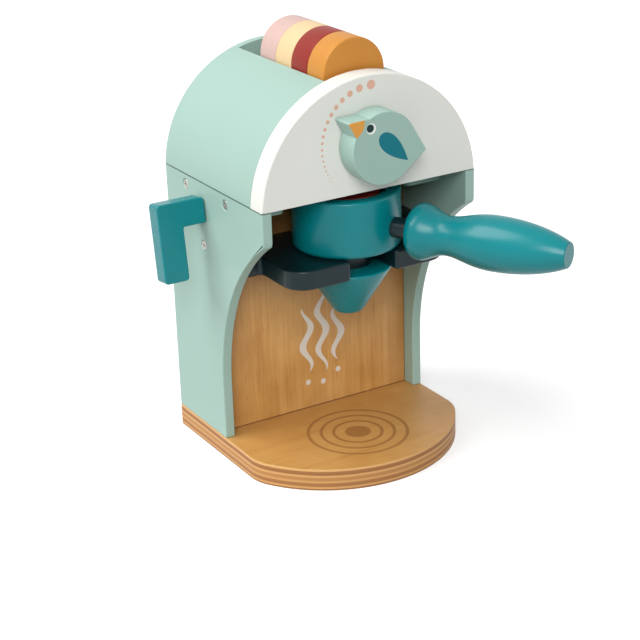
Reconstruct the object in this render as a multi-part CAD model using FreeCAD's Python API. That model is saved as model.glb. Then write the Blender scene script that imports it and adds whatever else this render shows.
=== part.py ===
"""Toy coffee maker in painted and natural plywood, with a turned portafilter and wooden pods.

Millimetres. X points to the machine's right, -Y to its front, Z up.
The origin is the middle of the base's underside.
"""
import math
import os

import FreeCAD
import Part

V = FreeCAD.Vector
X_AXIS = V(1, 0, 0)
Y_AXIS = V(0, 1, 0)
Z_AXIS = V(0, 0, 1)

# Overall sizes of the body
WIDTH = 150.0
BODY_DEPTH = 125.2
BASE_DEPTH = 150.6
BASE_THICKNESS = 14.6
PANEL_HEIGHT = 167.9
HOOD_RISE = 71.0

# Overshoot of cutting shapes past the faces they cut
OVERSHOOT = 1.0

# Plywood thicknesses
PANEL_THICKNESS = 6.5
BOARD_THICKNESS = 13.4
SHELF_THICKNESS = 13.4
FASCIA_THICKNESS = 14.0
REAR_END_THICKNESS = 6.4
ROOF_THICKNESS = 13.0
EDGE_EASE = 1.0

# Base outline
BASE_BOW = 48.1
BASE_CORNER_RADIUS = 28.0

# Side panel profile: its foot ends a little in front of the back board
PANEL_PAST_BOARD = 9.7
PANEL_CURVE_START = 37.4
PANEL_LIP_HEIGHT = 21.0
PANEL_LIP_ROUND = 3.0

# Back board and shelf, placed from the bowl and the front face
BOARD_BOWL_GAP = 7.0
SHELF_SET_BACK = 28.7
SHELF_CUT_REAR_GAP = 3.8
SHELF_CUT_SIDE_GAP = 9.6
SHELF_CUT_ROUND = 20.0
SHELF_NOSE_ROUND = 4.0

# Pods and their slot
POD_RADIUS = 21.2
POD_THICKNESS = 18.7
POD_GAP = 0.25
POD_COUNT = 4
POD_EDGE_ROUND = 0.7
POD_AXIS_BELOW_TOP = 2.4
POD_FRONT_GAP = 3.0
SLOT_CLEARANCE = 0.7
SLOT_FLOOR_CLEARANCE = 0.3
SLOT_BOARD = 6.0

# Fork that carries the portafilter
FORK_THICKNESS = 12.2
FORK_BAR_SET_BACK = 9.2
FORK_STEP = 13.0
FORK_STEP_ROUND = 3.0
FORK_SLOT_HALF = 16.0
FORK_CORNER_RADIUS = 14.0
FORK_TIP_ROUND = 2.5
FORK_PAST_FACE = 1.0

# Portafilter
BOWL_BEHIND_FACE = 30.0
BOWL_BELOW_JOINT = 5.1
BOWL_RADIUS = 33.9
BOWL_HEIGHT = 36.0
BOWL_RECESS_CLEARANCE = 3.8
BOWL_RIM_ABOVE_POD = 1.25
BOWL_EDGE_ROUND = 3.5
BOWL_RIM_ROUND = 1.6
BOWL_SEAT_GAP = 0.2
NECK_CLEARANCE = 0.7
SPOUT_TOP_RADIUS = 29.0
SPOUT_TIP_RADIUS = 9.0
SPOUT_LENGTH = 31.6
SPOUT_TIP_ROUND = 3.5
SPOUT_GAP = 0.4
SPOUT_PIN_RADIUS = 5.0
SPOUT_PIN_DEPTH = 10.0
RUNNING_CLEARANCE = 0.05
HANDLE_ANGLE = 28.5
HANDLE_HEIGHT = 15.0
HANDLE_DOWEL_RADIUS = 6.4
HANDLE_DOWEL_SEAT = 7.0
HANDLE_GAP = 11.1
HANDLE_LENGTH = 102.5
HANDLE_FACE_RADIUS = 7.7
HANDLE_BORE_LAND = 1.5
BULB_RADIUS = 17.4
BULB_FROM_START = 7.3
NECK_RADIUS = 12.1
NECK_FROM_START = 25.5
NECK_STRETCH = 2.0
BELLY_RADIUS = 16.8
BELLY_FROM_START = 56.5

# Bird-shaped dial on the fascia
KNOB_THICKNESS = 15.5
KNOB_GAP = 0.6
KNOB_AXLE_RADIUS = 4.0
KNOB_AXLE_SEAT = 9.0
KNOB_WASHER_RADIUS = 9.0
KNOB_WASHER_THICKNESS = 1.2
KNOB_WASHER_HEADROOM = 1.6
KNOB_SCREW_LENGTH = 12.0
BIRD_BODY = (-0.2, -0.3, 22.0)
BIRD_TAIL = (27.3, -5.6, 1.0)
BIRD_CHEEK = (-12.5, 11.5, 7.6)
BIRD_BEAK = (-23.6, 17.9, 0.9)

# Lever on the left panel
LEVER_THICKNESS = 12.0
LEVER_REACH = 32.0
LEVER_ARM_HEIGHT = 16.2
LEVER_LEG_WIDTH = 16.5
LEVER_DROP = 41.5
LEVER_GAP = 0.6
LEVER_SWING = 7.5
LEVER_PIN_RADIUS = 3.0
LEVER_PIN_SEAT = 14.0
LEVER_PIN_DEPTH = 20.0
LEVER_BELOW_SHELF = 3.6
LEVER_CORNER_ROUND = 3.0
LEVER_ARM_ROUND = 1.0

# Screws and dowels
SCREW_RADIUS = 1.5
SCREW_HEAD_RADIUS = 2.9
SCREW_HEAD_DEPTH = 1.8
SCREW_LENGTH = 24.0
SCREW_CLEARANCE = 0.05
SCREW_MARGIN = 0.5
HOOD_SCREW_SIDE_GAP = 0.3
RECESS_LENGTH = 3.4
RECESS_WIDTH = 0.7
RECESS_DEPTH = 1.2
DOWEL_RADIUS = 2.5
DOWEL_HALF_LENGTH = 9.0
DOWEL_END_GAP = 0.3
DOWEL_ANGLES = (35.0, 60.0, 120.0, 145.0)
SHELF_SCREW_REAR = 27.2
SHELF_SCREW_FRONT_GAP = 17.6
BOARD_SCREW_BELOW_SHELF = 28.0
BASE_SCREW_PLACES = (14.0, 32.0)

# Places worked out from the sizes above
REAR = BASE_DEPTH / 2
HALF = WIDTH / 2
INNER = HALF - PANEL_THICKNESS
JOINT_Z = BASE_THICKNESS + PANEL_HEIGHT
SHELF_BOTTOM = JOINT_Z - SHELF_THICKNESS
SHELF_MIDDLE = JOINT_Z - SHELF_THICKNESS / 2
HOOD_TOP = JOINT_Z + HOOD_RISE
HOOD_RADIUS = (HALF ** 2 + HOOD_RISE ** 2) / (2 * HOOD_RISE)
HOOD_CENTRE_Z = HOOD_TOP - HOOD_RADIUS
ROOF_INNER_RADIUS = HOOD_RADIUS - ROOF_THICKNESS
BOWL_AXIS = BODY_DEPTH - BOWL_BEHIND_FACE
BOARD_FRONT = BOWL_AXIS - BOWL_RADIUS - BOARD_BOWL_GAP
BOARD_REAR = BOARD_FRONT - BOARD_THICKNESS
BOARD_MIDDLE = BOARD_FRONT - BOARD_THICKNESS / 2
PANEL_FOOT_DEPTH = BOARD_FRONT + PANEL_PAST_BOARD
FASCIA_BACK = BODY_DEPTH - FASCIA_THICKNESS
SHELF_DEPTH = BODY_DEPTH - SHELF_SET_BACK
SHELF_CUT_REAR = BOWL_AXIS - BOWL_RADIUS - SHELF_CUT_REAR_GAP
SHELF_CUT_HALF = BOWL_RADIUS + SHELF_CUT_SIDE_GAP
SLOT_HALF = POD_RADIUS + SLOT_CLEARANCE
POD_Z = HOOD_TOP - POD_AXIS_BELOW_TOP
SLOT_FLOOR_Z = POD_Z - POD_RADIUS - SLOT_FLOOR_CLEARANCE
BOWL_TOP_Z = JOINT_Z - BOWL_BELOW_JOINT
BOWL_Z = BOWL_TOP_Z - BOWL_HEIGHT
FORK_TOP_Z = BOWL_Z - BOWL_SEAT_GAP
FORK_Z = FORK_TOP_Z - FORK_THICKNESS
FORK_FRONT = BODY_DEPTH + FORK_PAST_FACE
FORK_BAR_FRONT = BOWL_AXIS - FORK_BAR_SET_BACK
FORK_HALF_WIDTH = INNER - FORK_STEP
BOWL_RECESS_RADIUS = POD_RADIUS + BOWL_RECESS_CLEARANCE
BOWL_RECESS_DEPTH = POD_THICKNESS + POD_GAP + BOWL_RIM_ABOVE_POD
RECESS_Z = BOWL_TOP_Z - BOWL_RECESS_DEPTH
HANDLE_Z = BOWL_Z + HANDLE_HEIGHT
SPOUT_NECK_RADIUS = FORK_SLOT_HALF - NECK_CLEARANCE
SPOUT_Z = FORK_Z - SPOUT_GAP
HANDLE_START = BOWL_RADIUS + HANDLE_GAP
HANDLE_END = HANDLE_START + HANDLE_LENGTH
BULB_CENTRE = HANDLE_START + BULB_FROM_START
NECK_CENTRE = HANDLE_START + NECK_FROM_START
BELLY_CENTRE = HANDLE_START + BELLY_FROM_START
KNOB_Z = SLOT_FLOOR_Z - SLOT_BOARD - KNOB_WASHER_RADIUS - KNOB_WASHER_HEADROOM
LEVER_Z = SHELF_BOTTOM - LEVER_BELOW_SHELF
BOARD_SCREW_Z = SHELF_BOTTOM - BOARD_SCREW_BELOW_SHELF


def at(distance):
    """Y of a plane at this distance in front of the rear face."""
    return REAR - distance


def box(x0, x1, y0, y1, z0, z1):
    """Box between two corners, given as low and high values on each axis."""
    return Part.makeBox(x1 - x0, y1 - y0, z1 - z0, V(x0, y0, z0))


def rod(start, axis, radius, length):
    """Cylinder from start along axis."""
    return Part.makeCylinder(radius, length, start, axis)


def rounded_wire(corners):
    """Closed wire through corners, each a point and the radius that rounds it."""
    count = len(corners)
    edges = []
    first = None
    last = None
    for number in range(count):
        point, radius = corners[number]
        before = corners[number - 1][0]
        after = corners[(number + 1) % count][0]
        to_before = (before - point).normalize()
        to_after = (after - point).normalize()
        if radius > 0:
            half_angle = to_before.getAngle(to_after) / 2
            reach = radius / math.tan(half_angle)
            start = point + to_before * reach
            end = point + to_after * reach
            inward = (to_before + to_after).normalize()
            centre = point + inward * (radius / math.sin(half_angle))
            middle = centre - inward * radius
            piece = Part.Arc(start, middle, end).toShape()
        else:
            start = point
            end = point
            piece = None
        if last is not None and (start - last).Length > 1e-6:
            edges.append(Part.makeLine(last, start))
        if piece is not None:
            edges.append(piece)
        if first is None:
            first = start
        last = end
    if (first - last).Length > 1e-6:
        edges.append(Part.makeLine(last, first))
    return Part.Wire(edges)


def flat(points, depth):
    """Solid made by pushing a rounded outline along a direction."""
    return Part.Face(rounded_wire(points)).extrude(depth)


def ease(solid, radius, keep):
    """Rounds the edges of a solid that the test named keep accepts."""
    rims = [edge for edge in solid.Edges if keep(edge)]
    return solid.makeFillet(radius, rims)


def in_plane(axis, value):
    """Test for edges that lie wholly in the plane where axis has this value."""
    def test(edge):
        ends = (edge.BoundBox.XMin, edge.BoundBox.XMax, edge.BoundBox.YMin,
                edge.BoundBox.YMax, edge.BoundBox.ZMin, edge.BoundBox.ZMax)
        low = ends[2 * axis]
        high = ends[2 * axis + 1]
        return abs(low - value) < 1e-4 and abs(high - value) < 1e-4
    return test


def screw(tip_direction, head_centre, length, clearance=0.0):
    """Countersunk screw with its head's top at head_centre, or the hole that takes it."""
    head = SCREW_HEAD_RADIUS + clearance
    shank = SCREW_RADIUS + clearance
    solid = Part.makeCone(head, shank, SCREW_HEAD_DEPTH, head_centre, tip_direction)
    solid = solid.fuse(rod(head_centre, tip_direction, shank, length + clearance))
    return solid.removeSplitter()


def cross_cut(tip_direction, head_centre):
    """Cross-shaped recess for a screwdriver."""
    turn = FreeCAD.Rotation(Z_AXIS, tip_direction)
    long = RECESS_LENGTH / 2
    thin = RECESS_WIDTH / 2
    cut = box(-long, long, -thin, thin, -OVERSHOOT, RECESS_DEPTH)
    cut = cut.fuse(box(-thin, thin, -long, long, -OVERSHOOT, RECESS_DEPTH))
    cut.Placement = FreeCAD.Placement(head_centre, turn)
    return cut


def screws(places, length=SCREW_LENGTH):
    """Group of screws, each place giving a direction and a head centre."""
    return Part.makeCompound([screw(way, head, length).cut(cross_cut(way, head)) for way, head in places])


def without(solid, holes):
    """Solid with each hole's shape cut away."""
    for hole in holes:
        solid = solid.cut(hole)
    return solid


def screw_holes(places):
    """Hole for each screw, a clearance larger all round."""
    return [screw(way, head, SCREW_LENGTH, SCREW_CLEARANCE) for way, head in places]


def dowel_holes(places):
    """Hole across a joint for each dowel, a little longer than the dowel."""
    holes = []
    for centre, way in places:
        start = centre - way * (DOWEL_HALF_LENGTH + DOWEL_END_GAP)
        holes.append(rod(start, way, DOWEL_RADIUS + SCREW_CLEARANCE, 2 * (DOWEL_HALF_LENGTH + DOWEL_END_GAP)))
    return holes


def dowels(places):
    """Group of dowels, each centred on its joint."""
    return Part.makeCompound(
        [rod(centre - way * DOWEL_HALF_LENGTH, way, DOWEL_RADIUS, 2 * DOWEL_HALF_LENGTH) for centre, way in places]
    )


def side_screw_places():
    """Three screws a side, into the shelf's ends and the back board's edge."""
    places = []
    for side in (-1, 1):
        way = V(-side, 0, 0)
        for distance in (SHELF_SCREW_REAR, SHELF_DEPTH - SHELF_SCREW_FRONT_GAP):
            places.append((way, V(side * HALF, at(distance), SHELF_MIDDLE)))
        places.append((way, V(side * HALF, at(BOARD_MIDDLE), BOARD_SCREW_Z)))
    return places


def base_screw_places():
    """Screws from beneath, into the side panels' feet and the back board."""
    places = []
    for side in (-1, 1):
        for distance in BASE_SCREW_PLACES:
            places.append((Z_AXIS, V(side * (HALF - PANEL_THICKNESS / 2), at(distance), 0)))
        places.append((Z_AXIS, V(side * INNER / 2, at(BOARD_MIDDLE), 0)))
    return places


def fork_screw_places():
    """Screws from behind, through the back board into the fork's bar."""
    middle = FORK_Z + FORK_THICKNESS / 2
    return [(V(0, -1, 0), V(x, at(BOARD_REAR), middle)) for x in (-INNER / 2, 0, INNER / 2)]


def hood_screw_places():
    """Screws from beneath the shelf, behind the board, up into the hood's two roof blocks."""
    x = INNER - SCREW_HEAD_RADIUS - HOOD_SCREW_SIDE_GAP
    margin = SCREW_HEAD_RADIUS + SCREW_MARGIN
    distances = (REAR_END_THICKNESS + margin, BOARD_REAR - margin)
    return [(Z_AXIS, V(side * x, at(distance), SHELF_BOTTOM)) for side in (-1, 1) for distance in distances]


def hood_dowel_places(plane):
    """Dowels along the hood, across the joint in the plane at this distance."""
    radius = HOOD_RADIUS - ROOF_THICKNESS / 2
    places = []
    for angle in DOWEL_ANGLES:
        turn = math.radians(angle)
        centre = V(radius * math.cos(turn), at(plane), HOOD_CENTRE_Z + radius * math.sin(turn))
        places.append((centre, Y_AXIS))
    return places


def base_plate():
    """Plywood base: straight sides, and a front that bows out past them in one arc."""
    sides = BASE_DEPTH - BASE_BOW
    outline = Part.Wire([
        Part.makeLine(V(-HALF, at(0), 0), V(-HALF, at(sides), 0)),
        Part.Arc(V(-HALF, at(sides), 0), V(0, at(BASE_DEPTH), 0), V(HALF, at(sides), 0)).toShape(),
        Part.makeLine(V(HALF, at(sides), 0), V(HALF, at(0), 0)),
        Part.makeLine(V(HALF, at(0), 0), V(-HALF, at(0), 0)),
    ])
    plate = Part.Face(outline).extrude(V(0, 0, BASE_THICKNESS))
    corners = [
        edge for edge in plate.Edges
        if edge.BoundBox.ZLength > BASE_THICKNESS - 0.1 and abs(edge.BoundBox.YMin - at(sides)) < 0.01
    ]
    plate = plate.makeFillet(BASE_CORNER_RADIUS, corners)
    return without(plate, screw_holes(base_screw_places()))


def side_panel(side):
    """Panel with a concave front edge, from a narrow foot out to the full-depth lip."""
    lip_z = JOINT_Z - PANEL_LIP_HEIGHT
    start_z = BASE_THICKNESS + PANEL_CURVE_START
    run = BODY_DEPTH - PANEL_FOOT_DEPTH
    climb = lip_z - start_z
    radius = (run ** 2 + climb ** 2) / (2 * run)
    turn = math.asin(climb / radius) / 2
    middle = V(0, at(PANEL_FOOT_DEPTH + radius * (1 - math.cos(turn))), start_z + radius * math.sin(turn))
    outline = Part.Wire([
        Part.makeLine(V(0, at(0), BASE_THICKNESS), V(0, at(PANEL_FOOT_DEPTH), BASE_THICKNESS)),
        Part.makeLine(V(0, at(PANEL_FOOT_DEPTH), BASE_THICKNESS), V(0, at(PANEL_FOOT_DEPTH), start_z)),
        Part.Arc(V(0, at(PANEL_FOOT_DEPTH), start_z), middle, V(0, at(BODY_DEPTH), lip_z)).toShape(),
        Part.makeLine(V(0, at(BODY_DEPTH), lip_z), V(0, at(BODY_DEPTH), JOINT_Z)),
        Part.makeLine(V(0, at(BODY_DEPTH), JOINT_Z), V(0, at(0), JOINT_Z)),
        Part.makeLine(V(0, at(0), JOINT_Z), V(0, at(0), BASE_THICKNESS)),
    ])
    panel = Part.Face(outline).extrude(V(PANEL_THICKNESS, 0, 0))
    panel.translate(V(-HALF if side < 0 else INNER, 0, 0))
    lip = [
        edge for edge in panel.Edges
        if edge.BoundBox.XLength > PANEL_THICKNESS - 0.1
        and abs(edge.BoundBox.YMin - at(BODY_DEPTH)) < 0.01 and abs(edge.BoundBox.ZMin - lip_z) < 0.01
    ]
    panel = panel.makeFillet(PANEL_LIP_ROUND, lip)
    holes = screw_holes(side_screw_places()) + screw_holes(base_screw_places())
    if side < 0:
        holes.append(lever_bore())
    return without(panel, holes)


def back_board():
    """Plywood board between the panels, behind the bay where a cup stands."""
    board = box(-INNER, INNER, at(BOARD_FRONT), at(BOARD_REAR), BASE_THICKNESS, SHELF_BOTTOM)
    holes = screw_holes(side_screw_places()) + screw_holes(base_screw_places())
    holes += screw_holes(fork_screw_places())
    holes.append(lever_bore())
    return without(board, holes)


def top_shelf():
    """Plate between the panels, cut out at the front round the bowl."""
    front = at(SHELF_DEPTH)
    rear_cut = at(SHELF_CUT_REAR)
    z = SHELF_BOTTOM
    shelf = flat([
        (V(-INNER, at(0), z), 0),
        (V(-INNER, front, z), 0),
        (V(-SHELF_CUT_HALF, front, z), SHELF_NOSE_ROUND),
        (V(-SHELF_CUT_HALF, rear_cut, z), SHELF_CUT_ROUND),
        (V(SHELF_CUT_HALF, rear_cut, z), SHELF_CUT_ROUND),
        (V(SHELF_CUT_HALF, front, z), SHELF_NOSE_ROUND),
        (V(INNER, front, z), 0),
        (V(INNER, at(0), z), 0),
    ], V(0, 0, SHELF_THICKNESS))
    return without(shelf, screw_holes(side_screw_places()) + screw_holes(hood_screw_places()))


def hood_block(near, far):
    """Solid of the hood's outer shape between two distances from the rear."""
    drum = rod(V(0, at(far), HOOD_CENTRE_Z), Y_AXIS, HOOD_RADIUS, far - near)
    keep = box(-2 * HALF, 2 * HALF, at(far), at(near), JOINT_Z, HOOD_TOP + OVERSHOOT)
    return drum.common(keep)


def hood_roof(side):
    """One half of the curved roof, from the joint up to the edge of the slot."""
    length = FASCIA_BACK - REAR_END_THICKNESS
    roof = hood_block(REAR_END_THICKNESS, FASCIA_BACK)
    roof = roof.cut(rod(V(0, at(FASCIA_BACK), HOOD_CENTRE_Z), Y_AXIS, ROOF_INNER_RADIUS, length))
    x0 = -2 * HALF if side < 0 else SLOT_HALF
    x1 = x0 + 2 * HALF - SLOT_HALF
    roof = roof.common(box(x0, x1, at(FASCIA_BACK), at(REAR_END_THICKNESS), JOINT_Z, HOOD_TOP + OVERSHOOT))
    holes = dowel_holes(hood_dowel_places(FASCIA_BACK)) + screw_holes(hood_screw_places())
    return without(roof, holes)


def hood_rear_end():
    """Half disc that closes the hood behind."""
    return hood_block(0, REAR_END_THICKNESS)


def slot_wall(side):
    """Upright board under the roof's edge that guides the pods and carries the floor."""
    near = SLOT_HALF
    far = SLOT_HALF + SLOT_BOARD
    x0 = -far if side < 0 else near
    x1 = -near if side < 0 else far
    bottom = SLOT_FLOOR_Z - SLOT_BOARD
    wall = box(x0, x1, at(FASCIA_BACK), at(REAR_END_THICKNESS), bottom, HOOD_TOP)
    length = FASCIA_BACK - REAR_END_THICKNESS
    reach = ROOF_INNER_RADIUS - SCREW_CLEARANCE
    return wall.common(rod(V(0, at(FASCIA_BACK), HOOD_CENTRE_Z), Y_AXIS, reach, length))


def slot_floor():
    """Board that the pods stand on."""
    return box(-SLOT_HALF, SLOT_HALF, at(FASCIA_BACK), at(REAR_END_THICKNESS),
               SLOT_FLOOR_Z - SLOT_BOARD, SLOT_FLOOR_Z)


def front_fascia():
    """White half disc at the front, with its face's edges eased."""
    plate = hood_block(FASCIA_BACK, BODY_DEPTH)
    plate = ease(plate, EDGE_EASE, in_plane(1, at(BODY_DEPTH)))
    bore = rod(V(0, at(BODY_DEPTH) - OVERSHOOT, KNOB_Z), Y_AXIS,
               KNOB_AXLE_RADIUS + RUNNING_CLEARANCE, FASCIA_THICKNESS + 2 * OVERSHOOT)
    return without(plate, dowel_holes(hood_dowel_places(FASCIA_BACK)) + [bore])


def fork_holder():
    """Fork with a full-width bar behind and two prongs round a slot open to the front."""
    bar = at(FORK_BAR_FRONT)
    front = at(FORK_FRONT)
    z = FORK_Z
    fork = flat([
        (V(-INNER, at(BOARD_FRONT), z), 0),
        (V(-INNER, bar, z), 0),
        (V(-FORK_HALF_WIDTH, bar, z), FORK_STEP_ROUND),
        (V(-FORK_HALF_WIDTH, front, z), FORK_CORNER_RADIUS),
        (V(FORK_HALF_WIDTH, front, z), FORK_CORNER_RADIUS),
        (V(FORK_HALF_WIDTH, bar, z), FORK_STEP_ROUND),
        (V(INNER, bar, z), 0),
        (V(INNER, at(BOARD_FRONT), z), 0),
    ], V(0, 0, FORK_THICKNESS))
    slot = rod(V(0, at(BOWL_AXIS), z), Z_AXIS, FORK_SLOT_HALF, FORK_THICKNESS)
    way_in = box(-FORK_SLOT_HALF, FORK_SLOT_HALF, front - OVERSHOOT, at(BOWL_AXIS), z, z + FORK_THICKNESS)
    slot = slot.fuse(way_in)
    fork = fork.cut(slot.removeSplitter())
    tips = [
        edge for edge in fork.Edges
        if edge.BoundBox.ZLength > FORK_THICKNESS - 0.1 and edge.BoundBox.YLength < 0.01
        and abs(edge.BoundBox.YMin - front) < 0.01 and abs(abs(edge.BoundBox.XMin) - FORK_SLOT_HALF) < 0.01
    ]
    fork = fork.makeFillet(FORK_TIP_ROUND, tips)
    return without(fork, screw_holes(fork_screw_places()))


def turned(profile_edges, centre, axis):
    """Solid turned from a closed half profile drawn in the XZ plane with X as radius."""
    solid = Part.Face(Part.Wire(profile_edges)).revolve(V(0, 0, 0), Z_AXIS, 360)
    solid.Placement = FreeCAD.Placement(centre, FreeCAD.Rotation(Z_AXIS, axis))
    return solid


def handle_way():
    """Direction of the handle, turned to the right of straight forward."""
    turn = math.radians(HANDLE_ANGLE)
    return V(math.sin(turn), -math.cos(turn), 0)


def portafilter_bowl():
    """Turned bowl with a recess for one pod, bored for the handle's dowel and the spout's pin."""
    seat = V(0, at(BOWL_AXIS), BOWL_Z)
    bowl = rod(seat, Z_AXIS, BOWL_RADIUS, BOWL_HEIGHT)
    bowl = ease(bowl, BOWL_EDGE_ROUND, in_plane(2, BOWL_Z))
    bowl = ease(bowl, BOWL_RIM_ROUND, in_plane(2, BOWL_TOP_Z))
    recess = rod(V(0, at(BOWL_AXIS), RECESS_Z), Z_AXIS, BOWL_RECESS_RADIUS,
                 BOWL_RECESS_DEPTH + OVERSHOOT)
    bowl = bowl.cut(recess)
    pin = rod(seat, Z_AXIS, SPOUT_PIN_RADIUS + RUNNING_CLEARANCE, SPOUT_PIN_DEPTH + DOWEL_END_GAP)
    start = BOWL_RADIUS - HANDLE_DOWEL_SEAT - DOWEL_END_GAP
    dowel = rod(V(0, at(BOWL_AXIS), HANDLE_Z) + handle_way() * start, handle_way(),
                HANDLE_DOWEL_RADIUS + SCREW_CLEARANCE, 2 * HANDLE_DOWEL_SEAT)
    return without(bowl, [pin, dowel])


def portafilter_spout():
    """Neck that rides in the fork's slot, with the turned cone below it and a pin above."""
    neck_top = BOWL_Z - BOWL_SEAT_GAP / 2
    axis = V(0, at(BOWL_AXIS), 0)
    low = SPOUT_Z - SPOUT_LENGTH
    cone = Part.makeCone(SPOUT_TIP_RADIUS, SPOUT_TOP_RADIUS, SPOUT_LENGTH, axis + V(0, 0, low), Z_AXIS)
    cone = ease(cone, SPOUT_TIP_ROUND, in_plane(2, low))
    cone = ease(cone, EDGE_EASE, in_plane(2, SPOUT_Z))
    neck = rod(axis + V(0, 0, SPOUT_Z), Z_AXIS, SPOUT_NECK_RADIUS, neck_top - SPOUT_Z)
    pin = rod(axis + V(0, 0, neck_top), Z_AXIS, SPOUT_PIN_RADIUS, BOWL_Z + SPOUT_PIN_DEPTH - neck_top)
    return cone.fuse(neck).fuse(pin).removeSplitter()


def handle_dowel():
    """Navy dowel between the bowl and the handle."""
    start = BOWL_RADIUS - HANDLE_DOWEL_SEAT
    end = HANDLE_START + HANDLE_DOWEL_SEAT
    return rod(V(0, at(BOWL_AXIS), HANDLE_Z) + handle_way() * start, handle_way(), HANDLE_DOWEL_RADIUS, end - start)


def portafilter_handle():
    """Turned grip: a round bulb, a slim neck and a long belly that tapers to a flat end."""
    neck_join = (BULB_CENTRE + NECK_CENTRE) / 2
    neck_join_radius = (BULB_RADIUS + NECK_RADIUS) / 2
    belly_bend = ((HANDLE_END - BELLY_CENTRE) ** 2) / (2 * (BELLY_RADIUS - HANDLE_FACE_RADIUS))
    belly_join = 2 * NECK_CENTRE - neck_join + NECK_STRETCH
    belly_join_radius = BELLY_RADIUS - (BELLY_CENTRE - belly_join) ** 2 / (2 * belly_bend)
    bulb_face = HANDLE_DOWEL_RADIUS + HANDLE_BORE_LAND
    bulb = Part.Arc(
        V(bulb_face, 0, HANDLE_START),
        V(BULB_RADIUS, 0, BULB_CENTRE),
        V(neck_join_radius, 0, neck_join),
    ).toShape()
    neck = Part.Arc(
        V(neck_join_radius, 0, neck_join),
        V(NECK_RADIUS, 0, NECK_CENTRE),
        V(belly_join_radius, 0, belly_join),
    ).toShape()
    belly = Part.Arc(
        V(belly_join_radius, 0, belly_join),
        V(BELLY_RADIUS, 0, BELLY_CENTRE),
        V(HANDLE_FACE_RADIUS, 0, HANDLE_END),
    ).toShape()
    profile = [
        Part.makeLine(V(0, 0, HANDLE_START), V(bulb_face, 0, HANDLE_START)),
        bulb,
        neck,
        belly,
        Part.makeLine(V(HANDLE_FACE_RADIUS, 0, HANDLE_END), V(0, 0, HANDLE_END)),
        Part.makeLine(V(0, 0, HANDLE_END), V(0, 0, HANDLE_START)),
    ]
    grip = turned(profile, V(0, at(BOWL_AXIS), HANDLE_Z), handle_way())
    start = HANDLE_START - OVERSHOOT
    depth = HANDLE_DOWEL_SEAT + OVERSHOOT + DOWEL_END_GAP
    bore = rod(V(0, at(BOWL_AXIS), HANDLE_Z) + handle_way() * start, handle_way(),
               HANDLE_DOWEL_RADIUS + SCREW_CLEARANCE, depth)
    return grip.cut(bore)


def pod(centre, axis):
    """Wooden disc with eased rims, centred on its own thickness."""
    disc = rod(centre - axis * (POD_THICKNESS / 2), axis, POD_RADIUS, POD_THICKNESS)
    rims = [edge for edge in disc.Edges if edge.Closed]
    return disc.makeFillet(POD_EDGE_ROUND, rims)


def slot_pod(number):
    """Pod standing on its rim in the slot, counted from the fascia backwards."""
    front = FASCIA_BACK - POD_FRONT_GAP - number * (POD_THICKNESS + POD_GAP)
    return pod(V(0, at(front - POD_THICKNESS / 2), POD_Z), Y_AXIS)


def bowl_pod():
    """Pod lying flat in the bowl's recess."""
    return pod(V(0, at(BOWL_AXIS), RECESS_Z + POD_GAP + POD_THICKNESS / 2), Z_AXIS)


def tapered_face(one, other):
    """Flat face round two circles and the tangent lines that join them."""
    x1, z1, r1 = one
    x2, z2, r2 = other
    run = math.hypot(x2 - x1, z2 - z1)
    heading = math.atan2(z2 - z1, x2 - x1)
    lean = math.acos((r1 - r2) / run)
    corners = []
    for sign in (1, -1):
        turn = heading + sign * lean
        near = V(x1 + r1 * math.cos(turn), 0, z1 + r1 * math.sin(turn))
        far = V(x2 + r2 * math.cos(turn), 0, z2 + r2 * math.sin(turn))
        corners.append((near, far))
    back = heading + math.pi
    front = heading
    return Part.Face(Part.Wire([
        Part.Arc(corners[0][0], V(x1 + r1 * math.cos(back), 0, z1 + r1 * math.sin(back)), corners[1][0]).toShape(),
        Part.makeLine(corners[1][0], corners[1][1]),
        Part.Arc(corners[1][1], V(x2 + r2 * math.cos(front), 0, z2 + r2 * math.sin(front)), corners[0][1]).toShape(),
        Part.makeLine(corners[0][1], corners[0][0]),
    ]))


def bird_knob():
    """Dial cut as a plain bird: a round body drawn out to a pointed tail, and a short beak."""
    depth = V(0, KNOB_THICKNESS, 0)
    knob = tapered_face(BIRD_BODY, BIRD_TAIL).extrude(depth)
    knob = knob.fuse(tapered_face(BIRD_CHEEK, BIRD_BEAK).extrude(depth)).removeSplitter()
    back = at(BODY_DEPTH) - KNOB_GAP
    knob.translate(V(0, back - KNOB_THICKNESS, KNOB_Z))
    bore = rod(V(0, back - KNOB_AXLE_SEAT - DOWEL_END_GAP, KNOB_Z), Y_AXIS,
               KNOB_AXLE_RADIUS + SCREW_CLEARANCE, KNOB_AXLE_SEAT + OVERSHOOT)
    return knob.cut(bore)


def knob_end():
    """Y of the axle's inner end, just proud of the fascia's back."""
    return at(FASCIA_BACK) + KNOB_GAP


def knob_axle():
    """Dowel glued into the dial, which turns in the fascia's bore."""
    start = at(BODY_DEPTH) - KNOB_GAP - KNOB_AXLE_SEAT
    axle = rod(V(0, start, KNOB_Z), Y_AXIS, KNOB_AXLE_RADIUS, knob_end() - start)
    return axle.cut(knob_screw_hole())


def knob_screw_hole():
    """Hole for the dial's screw, through the washer into the axle."""
    place = V(0, knob_end() + KNOB_WASHER_THICKNESS, KNOB_Z)
    return screw(V(0, -1, 0), place, KNOB_SCREW_LENGTH, SCREW_CLEARANCE)


def knob_washer():
    """Steel washer that keeps the dial's axle in the fascia."""
    washer = rod(V(0, knob_end(), KNOB_Z), Y_AXIS, KNOB_WASHER_RADIUS, KNOB_WASHER_THICKNESS)
    return washer.cut(knob_screw_hole())


def knob_screw():
    """Screw through the washer into the axle."""
    place = V(0, knob_end() + KNOB_WASHER_THICKNESS, KNOB_Z)
    return screws([(V(0, -1, 0), place)], KNOB_SCREW_LENGTH)


def lever_start():
    """X of the lever's inner end, a running gap outside the left panel."""
    return -HALF - LEVER_GAP


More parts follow.
